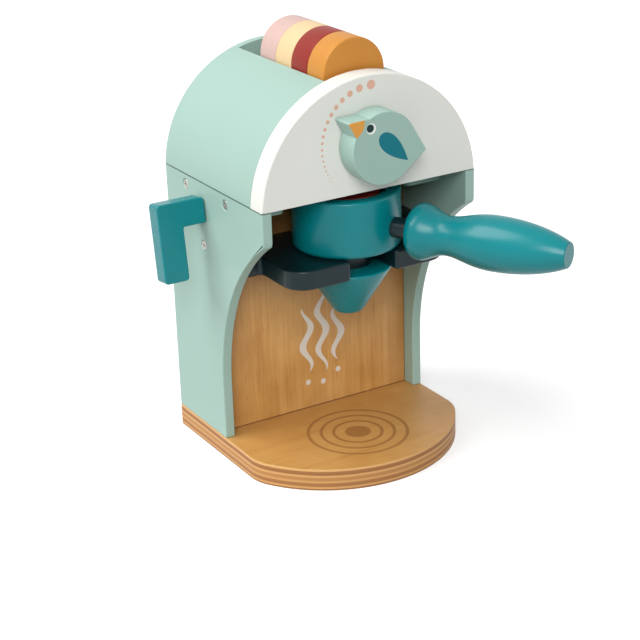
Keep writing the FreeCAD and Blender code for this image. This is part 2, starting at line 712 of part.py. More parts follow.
def lever_bore():
    """Blind bore for the lever's pin, through the left panel into the board's edge."""
    depth = LEVER_PIN_DEPTH + DOWEL_END_GAP + OVERSHOOT
    return rod(V(-HALF - OVERSHOOT, at(BOARD_MIDDLE), LEVER_Z), X_AXIS, LEVER_PIN_RADIUS + RUNNING_CLEARANCE, depth)


def swung(solid):
    """Lever piece at its rest angle, foot a little to the front."""
    solid.rotate(V(0, at(BOARD_MIDDLE), LEVER_Z), X_AXIS, -LEVER_SWING)
    return solid


def steam_lever():
    """Lever cut as a short arm with a leg that hangs from its outer end."""
    inner = lever_start()
    outer = inner - LEVER_REACH
    top = LEVER_Z + LEVER_ARM_HEIGHT / 2
    bottom = LEVER_Z - LEVER_ARM_HEIGHT / 2
    y = at(BOARD_MIDDLE) - LEVER_THICKNESS / 2
    lever = flat([
        (V(inner, y, bottom), LEVER_ARM_ROUND),
        (V(inner, y, top), LEVER_CORNER_ROUND),
        (V(outer, y, top), LEVER_CORNER_ROUND),
        (V(outer, y, LEVER_Z - LEVER_DROP), LEVER_CORNER_ROUND),
        (V(outer + LEVER_LEG_WIDTH, y, LEVER_Z - LEVER_DROP), LEVER_CORNER_ROUND),
        (V(outer + LEVER_LEG_WIDTH, y, bottom), LEVER_ARM_ROUND),
    ], V(0, LEVER_THICKNESS, 0))
    bore = rod(V(inner + OVERSHOOT, at(BOARD_MIDDLE), LEVER_Z), V(-1, 0, 0),
               LEVER_PIN_RADIUS + SCREW_CLEARANCE, LEVER_PIN_SEAT + OVERSHOOT + DOWEL_END_GAP)
    return swung(lever.cut(bore))


def lever_pin():
    """Steel pin fixed in the lever's arm, which turns in the panel and the board."""
    start = lever_start() - LEVER_PIN_SEAT
    end = -HALF + LEVER_PIN_DEPTH
    return rod(V(start, at(BOARD_MIDDLE), LEVER_Z), X_AXIS, LEVER_PIN_RADIUS, end - start)


def parts():
    """Every node's name and its shape."""
    nodes = {
        "base_plate": base_plate(),
        "left_side_panel": side_panel(-1),
        "right_side_panel": side_panel(1),
        "back_board": back_board(),
        "top_shelf": top_shelf(),
        "hood_roof_left": hood_roof(-1),
        "hood_roof_right": hood_roof(1),
        "hood_rear_end": hood_rear_end(),
        "slot_wall_left": slot_wall(-1),
        "slot_wall_right": slot_wall(1),
        "slot_floor": slot_floor(),
        "front_fascia": front_fascia(),
        "fork_holder": fork_holder(),
        "side_screws": screws(side_screw_places()),
        "base_screws": screws(base_screw_places()),
        "fork_screws": screws(fork_screw_places()),
        "hood_screws": screws(hood_screw_places()),
        "fascia_dowels": dowels(hood_dowel_places(FASCIA_BACK)),
        "portafilter_bowl": portafilter_bowl(),
        "portafilter_spout": portafilter_spout(),
        "handle_dowel": handle_dowel(),
        "portafilter_handle": portafilter_handle(),
        "pod_in_bowl": bowl_pod(),
        "bird_knob": bird_knob(),
        "knob_axle": knob_axle(),
        "knob_washer": knob_washer(),
        "knob_screw": knob_screw(),
        "steam_lever": steam_lever(),
        "lever_pin": lever_pin(),
    }
    for number in range(POD_COUNT):
        nodes["pod_slot_%d" % (number + 1)] = slot_pod(number)
    return nodes


def main():
    os.makedirs("parts", exist_ok=True)
    for name, shape in parts().items():
        solids = shape.Solids
        valid = all(solid.isValid() for solid in solids)
        print(name, "solids", len(solids), "valid", valid, "volume", round(shape.Volume, 1))
        shape.exportStep("parts/%s.step" % name)


main()
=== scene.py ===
"""Looks of a toy coffee maker in painted and natural plywood.

Metres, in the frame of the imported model: X to the machine's right, -Y to its front, Z up.
Each section is one piece or group of like pieces, in the order in which the toy is put together.
"""
import math

import bpy
from mathutils import Matrix, Vector
from mathutils.geometry import interpolate_bezier


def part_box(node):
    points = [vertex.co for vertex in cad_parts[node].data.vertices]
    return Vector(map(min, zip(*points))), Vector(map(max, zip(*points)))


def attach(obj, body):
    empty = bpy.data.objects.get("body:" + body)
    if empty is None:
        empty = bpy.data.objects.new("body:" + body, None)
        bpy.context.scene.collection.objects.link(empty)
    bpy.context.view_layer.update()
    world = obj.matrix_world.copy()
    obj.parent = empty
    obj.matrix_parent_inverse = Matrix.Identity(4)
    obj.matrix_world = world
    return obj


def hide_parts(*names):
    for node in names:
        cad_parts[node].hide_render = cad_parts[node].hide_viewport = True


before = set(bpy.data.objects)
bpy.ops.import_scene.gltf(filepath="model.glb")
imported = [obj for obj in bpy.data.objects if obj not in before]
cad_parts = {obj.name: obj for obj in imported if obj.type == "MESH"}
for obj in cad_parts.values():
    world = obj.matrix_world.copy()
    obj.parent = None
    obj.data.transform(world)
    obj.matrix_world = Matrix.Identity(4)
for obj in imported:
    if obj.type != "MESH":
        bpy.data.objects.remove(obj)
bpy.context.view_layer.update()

# Base
# A thick birch plywood plate with straight sides and a bowed front. Its sawn edge shows the plies,
# its faces are lacquered, and rings are burnt into the top where a cup stands.
# Shapes are in metres. Marks on a surface are in millimetres, as the finishes measure them.
MM = 0.001
# A face or edge within HAIR of a plane lies on it. An edge is sharp from SHARP_TURN upwards.
HAIR = 0.01 * MM
SHARP_TURN = math.radians(38)
base_low, base_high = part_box("base_plate")
BASE_TOP = base_high.z
HALF_WIDTH = base_high.x
BASE_BOW = 48.1 * MM
BASE_CORNER_REACH = 6.2 * MM
BASE_CORNER_CLEAR = 6.6 * MM
BASE_CORNER_STEPS = 10
BASE_EDGE_EASE = 0.5 * MM
BASE_ARC_SIDES = 240
EDGE_STEEPNESS = 0.6
RING_CENTRE = (0.0, -27.6, BASE_TOP / MM)
RING_RADII = (31.9, 23.6, 15.6)
RING_HALF_WIDTH = 1.05
RING_SOFT = 0.6
RING_SPOT_RADIUS = 8.3
RING_SPOT_SOFT = 0.5
RING_WOBBLE = 0.5
RING_WOBBLE_CELLS = 0.9
MARK_DEPTH = 0.3
MARK_SOFT = 0.12
LACQUER_ROUGHNESS = 0.42
LACQUER_COAT_ROUGHNESS = 0.3
EDGE_ROUGHNESS = 0.5
EDGE_COAT_ROUGHNESS = 0.35
PORE_DEPTH = 0.03 * MM
EDGE_DEPTH = 0.08 * MM
WOOD_PALE = (219, 172, 108)
WOOD_MIDDLE = (203, 152, 84)
WOOD_DARK = (182, 127, 62)
BURNT = (138, 84, 36)
# Cells of noise per millimetre, across the fibres and along them.
GRAIN_SWAY = (0.02, 0.008)
GRAIN_BANDS = (0.16, 0.006)
GRAIN_FIBRES = (1.7, 0.035)
GRAIN_FLECKS = (2.6, 0.22)
GRAIN_CLOUDS = 0.03
DARK_CLOUDS = 0.05
PLY_GRAIN = (1.4, 5.0)
PLY_STREAKS = (0.12, 4.0)
# What the bands, fibres, clouds and waves each add to the tone of the wood.
GRAIN_SHARES = (0.25, 0.3, 0.4, 0.05)
GRAIN_WAVES = 22.0
GRAIN_SWAY_TURN = 10.0
PLY_DRIFT = 0.05
# Where each colour of the sawn edge starts or ends, from the bottom at 0 to the top at 1.
# The darkest band at the very bottom is painted shade along the edge's foot; the others are plies.
PLY_AND_FOOT_SHADE_STOPS = (
    (0.0, (140, 90, 42)),
    (0.07, (146, 94, 44)),
    (0.1, (214, 162, 98)),
    (0.17, (208, 156, 92)),
    (0.2, (158, 104, 52)),
    (0.34, (168, 112, 58)),
    (0.37, (212, 160, 96)),
    (0.45, (204, 150, 86)),
    (0.48, (182, 126, 68)),
    (0.6, (188, 132, 72)),
    (0.63, (218, 168, 104)),
    (0.7, (214, 162, 98)),
    (0.73, (152, 98, 48)),
    (0.88, (160, 106, 52)),
    (0.91, (224, 174, 110)),
    (1.0, (226, 178, 114)),
)


class Shade:
    """One shader socket. Arithmetic on it adds Math nodes, and add() adds any other node."""

    def __init__(self, tree, socket=None):
        self.tree = tree
        self.socket = socket

    def add(self, kind, settings, inputs, output=0):
        node = self.tree.nodes.new(kind)
        for name, setting in settings.items():
            if name == "stops":
                while len(node.color_ramp.elements) > 1:
                    node.color_ramp.elements.remove(node.color_ramp.elements[-1])
                node.color_ramp.elements[0].position = setting[0][0]
                node.color_ramp.elements[0].color = setting[0][1]
                for position, colour in setting[1:]:
                    node.color_ramp.elements.new(position).color = colour
            else:
                setattr(node, name, setting)
        for name, value in inputs.items():
            if isinstance(value, Shade):
                self.tree.links.new(value.socket, node.inputs[name])
            else:
                node.inputs[name].default_value = value
        return Shade(self.tree, node.outputs[output])

    def sum(self, operation, first, second=0.0, clamp=False):
        settings = {"operation": operation, "use_clamp": clamp}
        return self.add("ShaderNodeMath", settings, {0: first, 1: second})

    def __add__(self, other):
        return self.sum("ADD", self, other)

    __radd__ = __add__

    def __sub__(self, other):
        return self.sum("SUBTRACT", self, other)

    def __rsub__(self, other):
        return self.sum("SUBTRACT", other, self)

    def __mul__(self, other):
        return self.sum("MULTIPLY", self, other)

    __rmul__ = __mul__

    def __truediv__(self, other):
        return self.sum("DIVIDE", self, other)

    def __pow__(self, other):
        return self.sum("POWER", self, other)

    def __abs__(self):
        return self.sum("ABSOLUTE", self)

    def clamped(self):
        return self.sum("ADD", self, 0.0, clamp=True)

    def part(self, axis):
        return self.add("ShaderNodeSeparateXYZ", {}, {0: self}, axis)

    def distance(self, point):
        return self.add("ShaderNodeVectorMath", {"operation": "DISTANCE"}, {0: self, 1: point}, 1)


def tint(red, green, blue):
    """Linear colour of a paint or wood given in screen values from 0 to 255."""
    linear = []
    for value in (red, green, blue):
        share = value / 255
        linear.append(share / 12.92 if share <= 0.04045 else ((share + 0.055) / 1.055) ** 2.4)
    return (*linear, 1.0)


def new_finish(name, constants):
    """Material with its constant sockets set, its shader, and its place in millimetres."""
    material = bpy.data.materials.new(name)
    material.use_nodes = True
    tree = material.node_tree
    shader = tree.nodes["Principled BSDF"]
    for socket, value in constants.items():
        shader.inputs[socket].default_value = value
    metres = Shade(tree).add("ShaderNodeTexCoord", {}, {}, "Object")
    place = metres.add("ShaderNodeVectorMath", {"operation": "SCALE"}, {0: metres, "Scale": 1 / MM})
    return material, shader, place


def feed(shader, values):
    """Links what varies over the surface to the shader's sockets."""
    for socket, value in values.items():
        value.tree.links.new(value.socket, shader.inputs[socket])


def noise(place, cells, detail=2.0):
    """Cloudy value from 0 to 1, with this many cells per millimetre, on each axis or on all."""
    if isinstance(cells, float):
        cells = (cells, cells, cells)
    scaled = place.add("ShaderNodeVectorMath", {"operation": "MULTIPLY"}, {0: place, 1: cells})
    return place.add("ShaderNodeTexNoise", {}, {"Vector": scaled, "Scale": 1.0, "Detail": detail})


def fibred(axis, across, along):
    """Cells of noise per millimetre for fibres that run along one axis."""
    cells = [across, across, across]
    cells[axis] = along
    return cells


def inside(distance, edge, soft=MARK_SOFT):
    """Mask that is 1 where a distance is under its edge, with a narrow soft border."""
    return ((edge - distance) / soft + 0.5).clamped()


def either(*masks):
    """Mask of all that any of these masks covers."""
    whole = masks[0]
    for mask in masks[1:]:
        whole = whole.sum("MAXIMUM", whole, mask)
    return whole


def mixed(mask, outer, inner):
    """Colour that goes from outer to inner as the mask goes from 0 to 1."""
    return mask.add("ShaderNodeMix", {"data_type": "RGBA"}, {0: mask, 6: outer, 7: inner}, 2)


def relief(height, depth):
    """Normal of a surface that a height from 0 to 1 raises by this depth in metres."""
    inputs = {"Strength": 1.0, "Distance": depth, "Height": height}
    return height.add("ShaderNodeBump", {}, inputs, "Normal")


def wood_grain(place, axis):
    """Grain colour and pore height of sliced birch whose fibres run along this axis."""
    sway = noise(place, fibred(axis, *GRAIN_SWAY)) * GRAIN_SWAY_TURN
    bands = noise(place, fibred(axis, *GRAIN_BANDS), 3.0)
    fibres = noise(place, fibred(axis, *GRAIN_FIBRES), 4.0)
    flecks = noise(place, fibred(axis, *GRAIN_FLECKS))
    clouds = noise(place, GRAIN_CLOUDS)
    waves = (place.sum("SINE", bands * GRAIN_WAVES + sway) + 1.0) * 0.5
    layers = (bands, fibres, clouds, waves)
    tone = sum(layer * share for layer, share in zip(layers, GRAIN_SHARES))
    stops = ((0.34, tint(*WOOD_DARK)), (0.5, tint(*WOOD_MIDDLE)), (0.66, tint(*WOOD_PALE)))
    colour = tone.add("ShaderNodeValToRGB", {"stops": stops}, {0: tone})
    pores = ((flecks - 0.6) * 5.0).clamped()
    return mixed(pores * 0.4, colour, tint(*BURNT)), fibres * 0.7 + pores * 0.3


def base_face_finish():
    """Lacquered birch whose top has rings and a spot burnt into it, darker where it is pored."""
    constants = {"Coat Roughness": LACQUER_COAT_ROUGHNESS}
    material, shader, place = new_finish("lacquered_birch_top", constants)
    colour, pores = wood_grain(place, 0)
    wobble = noise(place, RING_WOBBLE_CELLS) * RING_WOBBLE - RING_WOBBLE / 2
    distance = place.distance(RING_CENTRE) + wobble
    rings = [inside(abs(distance - radius), RING_HALF_WIDTH, RING_SOFT) for radius in RING_RADII]
    burnt = either(inside(distance, RING_SPOT_RADIUS, RING_SPOT_SOFT), *rings)
    top = inside(BASE_TOP / MM - place.part("Z"), MARK_DEPTH)
    scorch = burnt * top * (0.55 + 0.35 * pores)
    # Random clouds take the top's colour towards the dark wood tone, making the whole plate a little
    # darker.
    dark_clouds = noise(place, DARK_CLOUDS, 3.0) * 0.5 + 0.1
    colour = mixed(dark_clouds, colour, tint(*WOOD_DARK))
    feed(shader, {
        "Base Color": mixed(scorch, colour, tint(*BURNT)),
        "Roughness": LACQUER_ROUGHNESS + 0.12 * pores + 0.15 * scorch,
        "Coat Weight": 0.25 - 0.15 * burnt * top,
        "Normal": relief(pores - 0.8 * scorch, PORE_DEPTH),
    })
    return material


def base_edge_finish():
    """Sawn plywood edge: stacked plies, with fibres and end grain in turn, and painted shade at its
    foot.
    """
    material, shader, place = new_finish("sawn_birch_edge_and_foot_shade", {"Coat Roughness": EDGE_COAT_ROUGHNESS})
    drift = (noise(place, GRAIN_CLOUDS) - 0.5) * PLY_DRIFT
    height = place.part("Z") / (BASE_TOP / MM) + drift
    # The first stops give painted shade along the foot of the edge; the rest are the plies.
    stops = [(position, tint(*colour)) for position, colour in PLY_AND_FOOT_SHADE_STOPS]
    plies = height.add("ShaderNodeValToRGB", {"stops": stops}, {0: height})
    grain = noise(place, fibred(2, *PLY_GRAIN), 4.0)
    streaks = noise(place, fibred(2, *PLY_STREAKS), 3.0)
    dark = ((0.62 - grain) * 2.2).clamped() * 0.35 + ((0.5 - streaks) * 2.0).clamped() * 0.35
    feed(shader, {
        "Base Color": mixed(dark.clamped(), plies, tint(*BURNT)),
        "Roughness": EDGE_ROUGHNESS + 0.2 * grain,
        "Coat Weight": 0.1 + 0.1 * streaks,
        "Normal": relief(grain * 0.5 + streaks * 0.5, EDGE_DEPTH),
    })
    return material


def only(piece):
    """Leaves one object selected and active."""
    bpy.ops.object.select_all(action="DESELECT")
    piece.select_set(True)
    bpy.context.view_layer.objects.active = piece


def fresh(name):
    """Names the piece just added or joined, and puts its place into its mesh."""
    piece = bpy.context.object
    only(piece)
    piece.name = name
    piece.data.name = name
    bpy.ops.object.transform_apply(location=True, rotation=True, scale=True)
    return piece


def block(name, low, high):
    """Box between two corners."""
    low = Vector(low)
    high = Vector(high)
    bpy.ops.mesh.primitive_cube_add(size=1, location=(low + high) / 2, scale=high - low)
    return fresh(name)


def drum(name, centre, axis, radius, length, sides=192):
    """Cylinder round a centre along X, Y or Z."""
    turns = {"X": (0, math.pi / 2, 0), "Y": (math.pi / 2, 0, 0), "Z": (0, 0, 0)}
    bpy.ops.mesh.primitive_cylinder_add(
        vertices=sides, radius=radius, depth=length, location=centre, rotation=turns[axis],
    )
    return fresh(name)


def choose(piece, kind, test):
    """Opens the piece for editing, with the faces or edges selected whose box passes the test."""
    only(piece)
    bpy.ops.object.mode_set(mode="EDIT")
    bpy.ops.mesh.select_mode(type=kind)
    bpy.ops.mesh.select_all(action="DESELECT")
    bpy.ops.object.mode_set(mode="OBJECT")
    mesh = piece.data
    items = mesh.polygons if kind == "FACE" else mesh.edges
    for item in items:
        points = [mesh.vertices[index].co for index in item.vertices]
        low = Vector([min(point[axis] for point in points) for axis in range(3)])
        high = Vector([max(point[axis] for point in points) for axis in range(3)])
        item.select = test(low, high)
    bpy.ops.object.mode_set(mode="EDIT")


def slice_off(piece, point, direction):
    """Cuts away what lies past a plane, and closes the cut."""
    only(piece)
    bpy.ops.object.mode_set(mode="EDIT")
    bpy.ops.mesh.select_mode(type="FACE")
    bpy.ops.mesh.select_all(action="SELECT")
    bpy.ops.mesh.bisect(plane_co=point, plane_no=direction, use_fill=True, clear_outer=True)
    bpy.ops.object.mode_set(mode="OBJECT")


def round_edges(piece, test, radius, steps):
    """Rounds the chosen edges by themselves."""
    choose(piece, "EDGE", test)
    bpy.ops.mesh.bevel(offset=radius, segments=steps, affect="EDGES", clamp_overlap=False)
    bpy.ops.object.mode_set(mode="OBJECT")


def push_out(piece, test, shift):
    """Extrudes the chosen faces by this shift."""
    choose(piece, "FACE", test)
    bpy.ops.mesh.extrude_region_move(TRANSFORM_OT_translate={"value": shift})
    bpy.ops.object.mode_set(mode="OBJECT")


def smooth(piece):
    """Shades a piece smooth, except across its sharp edges."""
    only(piece)
    bpy.ops.object.shade_smooth_by_angle(angle=SHARP_TURN)


def soften(piece, width, steps=3):
    """Sands every sharp edge to a small round, and shades the faces between them flat and clean."""
    only(piece)
    bevel = piece.modifiers.new("sanded edges", "BEVEL")
    bevel.width = width
    bevel.segments = steps
    bevel.limit_method = "ANGLE"
    bevel.angle_limit = SHARP_TURN
    bevel.miter_outer = "MITER_ARC"
    bevel.use_clamp_overlap = False
    bpy.ops.object.modifier_apply(modifier=bevel.name)
    smooth(piece)
    shading = piece.modifiers.new("clean shading", "WEIGHTED_NORMAL")
    shading.keep_sharp = True
    bpy.ops.object.modifier_apply(modifier=shading.name)


def finish_piece(piece, body, materials, nodes):
    """Paints a piece, and fits it to its body in place of its nodes."""
    piece.data.materials.clear()
    for material in materials:
        piece.data.materials.append(material)
    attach(piece, body)
    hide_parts(*nodes)


def beside_corner(low, high):
    """Test for the bow's upright edges that lie too near a corner for it to be rounded."""
    upright_edge = high.z - low.z > BASE_TOP / 2
    near_side = HALF_WIDTH - abs(low.x) < BASE_CORNER_CLEAR
    return upright_edge and near_side and side_end - BASE_CORNER_CLEAR < low.y < side_end - HAIR


def at_corner(low, high):
    """Test for the two upright edges where the bow meets the straight sides."""
    return high.z - low.z > BASE_TOP / 2 and abs(low.y - side_end) < HAIR


bow_radius = (HALF_WIDTH ** 2 + BASE_BOW ** 2) / (2 * BASE_BOW)
side_end = base_low.y + BASE_BOW
bow_centre = (0, base_low.y + bow_radius, BASE_TOP / 2)
base = drum("base", bow_centre, "Z", bow_radius, BASE_TOP, BASE_ARC_SIDES)
slice_off(base, (0, side_end, 0), (0, 1, 0))
push_out(base, lambda low, high: low.y > side_end - HAIR, (0, base_high.y - side_end, 0))
choose(base, "EDGE", beside_corner)
bpy.ops.mesh.dissolve_edges(use_verts=True)
bpy.ops.object.mode_set(mode="OBJECT")
round_edges(base, at_corner, BASE_CORNER_REACH, BASE_CORNER_STEPS)
soften(base, BASE_EDGE_EASE)
finish_piece(base, "frame", [base_face_finish(), base_edge_finish()], ["base_plate"])
for polygon in base.data.polygons:
    polygon.material_index = 1 if abs(polygon.normal.z) < EDGE_STEEPNESS else 0

# Side panels
# Two painted plywood panels, narrow at the foot. Their front edge sweeps out in one concave arc
# to a full-depth lip under the hood. Each is screwed to the shelf and to the back board.
panel_low, panel_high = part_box("left_side_panel")
PANEL_REAR = panel_high.y
PANEL_THICKNESS = panel_high.x - panel_low.x
PANEL_FOOT_FRONT = PANEL_REAR - 64.0 * MM
PANEL_CURVE_START = BASE_TOP + 37.4 * MM
PANEL_LIP_BOTTOM = panel_high.z - 21.0 * MM
PANEL_LIP_ROUND = 3.0 * MM
PANEL_EASE = 0.7 * MM
PANEL_ARC_SIDES = 256
# An edge within NEAR of a place is the edge meant by it.
NEAR = 0.1 * MM
SCREW_SEAT_RADIUS = 3.15 * MM
SCREW_SEAT_DEPTH = 1.6 * MM
MINT = (156, 186, 175)
MINT_PALE = (162, 191, 181)
# A fine line of painted shade along the joint under the hood: its height, half width, soft edge,
# strength and colour.
SEAM_Z = panel_high.z / MM
SEAM_HALF_WIDTH = 0.42
SEAM_SOFT = 0.25
SEAM_SHADE_STRENGTH = 0.9
SEAM_SHADE_COLOUR = (66, 92, 84)
PAINT_MOTTLE = 0.035
PAINT_GRAIN = (0.5, 0.045)
PAINT_PEEL = 1.1
PAINT_COAT_ROUGHNESS = 0.25
PAINT_DEPTH = 0.02 * MM
MARK_HEIGHT = 1.5


def paint(name, colour, pale, roughness=0.4, marks=None, shine=0.25):
    """Sprayed satin paint on sanded wood: a soft mottle, a trace of the grain and a fine orange peel.

    marks gives printed areas and lines of painted shade, each a mask of the place and its colour.
    """
    constants = {"Specular IOR Level": shine, "Coat Roughness": PAINT_COAT_ROUGHNESS}
    material, shader, place = new_finish(name, constants)
    mottle = noise(place, PAINT_MOTTLE, 3.0)
    grain = noise(place, fibred(2, *PAINT_GRAIN), 3.0)
    peel = noise(place, PAINT_PEEL)
    cover = mixed((mottle * 0.7 + grain * 0.3 - 0.2).clamped(), tint(*colour), tint(*pale))
    height = peel * 0.6 + grain * 0.4
    if marks:
        # Marks hold printed areas and lines of painted shade, each laid over the paint in its own
        # colour.
        prints_and_shades = marks(place)
        for mask, ink in prints_and_shades:
            cover = mixed(mask, cover, tint(*ink))
        height = height + either(*[mask for mask, ink in prints_and_shades]) * MARK_HEIGHT
    feed(shader, {
        "Base Color": cover,
        "Roughness": roughness + 0.1 * mottle + 0.05 * peel,
        "Coat Weight": 0.02 + 0.04 * mottle,
        "Normal": relief(height, PAINT_DEPTH),
    })
    return material


def combine(piece, other, operation):
    """Joins another solid to the piece, or cuts it out, and uses it up."""
    only(piece)
    modifier = piece.modifiers.new("combine", "BOOLEAN")
    modifier.object = other
    modifier.operation = operation
    modifier.solver = "EXACT"
    bpy.ops.object.modifier_apply(modifier=modifier.name)
    bpy.data.objects.remove(other)


def lip_tip(low, high):
    """Test for the level edge at the front end of the lip's underside."""
    level = high.z - low.z < NEAR
    return level and high.y < panel_low.y + NEAR and abs(low.z - PANEL_LIP_BOTTOM) < NEAR


def side_panel(name, node):
    """Board of the panel's full size, with the front below its lip cut away along an arc."""
    low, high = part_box(node)
    panel = block(name, low, high)
    run = PANEL_FOOT_FRONT - low.y
    climb = PANEL_LIP_BOTTOM - PANEL_CURVE_START
    radius = (run ** 2 + climb ** 2) / (2 * run)
    centre = ((low.x + high.x) / 2, PANEL_FOOT_FRONT - radius, PANEL_CURVE_START)
    sweep = drum("sweep", centre, "X", radius, 3 * PANEL_THICKNESS, PANEL_ARC_SIDES)
    slice_off(sweep, (0, 0, PANEL_CURVE_START), (0, 0, -1))
    push_out(sweep, lambda low, high: high.z < PANEL_CURVE_START + HAIR, (0, 0, -2 * PANEL_CURVE_START))
    combine(panel, sweep, "DIFFERENCE")
    round_edges(panel, lip_tip, PANEL_LIP_ROUND, 6)
    return panel


def seam_shadow_line(place):
    """Fine line of painted shade in the joint where the hood stands on the panels."""
    line = inside(abs(place.part("Z") - SEAM_Z), SEAM_HALF_WIDTH, SEAM_SOFT)
    return [(line * SEAM_SHADE_STRENGTH, SEAM_SHADE_COLOUR)]


SCREW_SHELF_Z = 175.8 * MM
SCREW_BOARD_Z = 141.1 * MM
SCREW_PLACES = (
    (PANEL_REAR - 27.2 * MM, SCREW_SHELF_Z),
    (PANEL_REAR - 78.9 * MM, SCREW_SHELF_Z),
    (PANEL_REAR - 47.6 * MM, SCREW_BOARD_Z),
)
# The mint paint carries the line of painted shade along the joint under the hood.
mint = paint("mint_satin_paint_and_seam_shade", MINT, MINT_PALE, marks=seam_shadow_line)
for side, word in ((-1, "left"), (1, "right")):
    panel = side_panel(word + "_panel", word + "_side_panel")
    for y, z in SCREW_PLACES:
        seat = drum("seat", (side * HALF_WIDTH, y, z), "X", SCREW_SEAT_RADIUS, 2 * SCREW_SEAT_DEPTH, 40)
        combine(panel, seat, "DIFFERENCE")
    soften(panel, PANEL_EASE)
    finish_piece(panel, "frame", [mint], [word + "_side_panel"])

# Side screws
# Small countersunk steel screws with a cross recess, three a side. They sit a little below the paint
# and hold the panels to the shelf's ends and the back board's edge.
SCREW_HEAD_RADIUS = 2.9 * MM
SCREW_HEAD_DEPTH = 1.1 * MM
SCREW_HEAD_ROUND = 0.35 * MM
SCREW_HEAD_EASE = 0.08 * MM
SCREW_SINK = 0.25 * MM
RECESS_HALF_LENGTH = 1.75 * MM
RECESS_HALF_WIDTH = 0.4 * MM
RECESS_CUT = 0.8 * MM
STEEL = (214, 212, 206)
STEEL_DARK = (150, 147, 140)
STEEL_SCRATCHES = (4.0, 0.6)
STEEL_STAINS = 0.8
STEEL_DEPTH = 0.01 * MM


def steel_finish():
    """Zinc plated steel, stained and scratched by handling."""
    material, shader, place = new_finish("worn_zinc_steel", {"Metallic": 1.0})
    scratches = noise(place, fibred(2, *STEEL_SCRATCHES), 3.0)
    stain = noise(place, STEEL_STAINS)
    feed(shader, {
        "Base Color": mixed(stain, tint(*STEEL_DARK), tint(*STEEL)),
        "Roughness": 0.3 + 0.25 * scratches,
        "Normal": relief(scratches, STEEL_DEPTH),
    })
    return material


def screw_head(name, side, y, z):
    """Head with a rounded rim and a cross cut into it, its top just under the panel's face."""
    outer = side * (HALF_WIDTH - SCREW_SINK)
    middle = (outer - side * SCREW_HEAD_DEPTH / 2, y, z)
    head = drum(name, middle, "X", SCREW_HEAD_RADIUS, SCREW_HEAD_DEPTH, 48)

    def rim(low, high):
        return abs(low.x - outer) < HAIR and abs(high.x - outer) < HAIR

    round_edges(head, rim, SCREW_HEAD_ROUND, 3)
    long = RECESS_HALF_LENGTH
    thin = RECESS_HALF_WIDTH
    for half_y, half_z in ((long, thin), (thin, long)):
        half = Vector((RECESS_CUT, half_y, half_z))
        place = Vector((outer, y, z))
        combine(head, block("slot", place - half, place + half), "DIFFERENCE")
    soften(head, SCREW_HEAD_EASE, 2)
    return head


steel = steel_finish()
heads = []
for side in (-1, 1):
    for number, (y, z) in enumerate(SCREW_PLACES):
        heads.append(screw_head("screw_head_%d_%d" % (side + 1, number), side, y, z))
bpy.ops.object.select_all(action="DESELECT")
for head in heads:
    head.select_set(True)
bpy.context.view_layer.objects.active = heads[0]
bpy.ops.object.join()
side_screws = fresh("side_screw_heads")
finish_piece(side_screws, "frame", [steel], ["side_screws"])

# Back board
# An upright birch plywood board between the panels, its grain running up. A pale print of rising
# steam, three wavy ribbons over small drops, is screened on its front.
board_low, board_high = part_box("back_board")
PRINT_X = 4.0
PRINT_BOTTOM = 38.0
RIBBON_HEIGHTS = (46.0, 62.0, 38.0)
RIBBON_STARTS = (2.0, 0.0, 6.0)
RIBBON_SPACING = 11.5
RIBBON_SWAY = 3.2
RIBBON_WAVE = 27.0
RIBBON_HALF_WIDTH = 2.7
RIBBON_LAG = 0.9
RIBBON_TAPER = 0.7
DROP_RADIUS = 1.9
DROP_GAP = 7.0
PRINT_GREY = (222, 217, 207)
BOARD_EASE = 0.35 * MM
# Colour of the painted shade at the board's sides and top. The board's own darker blotches also use it.
BOARD_SHADE_AND_BLOTCH_TINT = (128, 70, 26)
# Painted shade in the creases where the board meets the panels and the base: its colour, its place at
# the sides and its height at the foot.
BOARD_CREASE_SHADE = (92, 38, 22)
BOARD_CREASE_SHADE_X = 68.0
BOARD_CREASE_SHADE_HEIGHT = 0.75
# Where the painted shade starts at the sides and at the top, and over what width it comes in full.
SIDE_SHADE_START = 46.0
SIDE_SHADE_WIDTH = 22.0
TOP_SHADE_START = 92.0
TOP_SHADE_WIDTH = 50.0
BOARD_BLOTCHES = (0.045, 0.03)


def steam_print(place):
    """Mask of the ribbons and drops on the board's face."""
    x = place.part("X") - PRINT_X
    z = place.part("Z") - PRINT_BOTTOM
    masks = []
    for number, (height, start) in enumerate(zip(RIBBON_HEIGHTS, RIBBON_STARTS)):
        middle = (number - 1) * RIBBON_SPACING
        share = ((z - start) / height).clamped()
        taper = place.sum("SINE", share * math.pi) ** RIBBON_TAPER
        turn = z * (2 * math.pi / RIBBON_WAVE) + number * RIBBON_LAG
        sway = place.sum("SINE", turn) * RIBBON_SWAY
        masks.append(inside(abs(x - middle - sway), taper * RIBBON_HALF_WIDTH - 0.05))
        spot = (PRINT_X + middle, board_low.y / MM, PRINT_BOTTOM + start - DROP_GAP)
        masks.append(inside(place.distance(spot), DROP_RADIUS))
    return either(*masks)


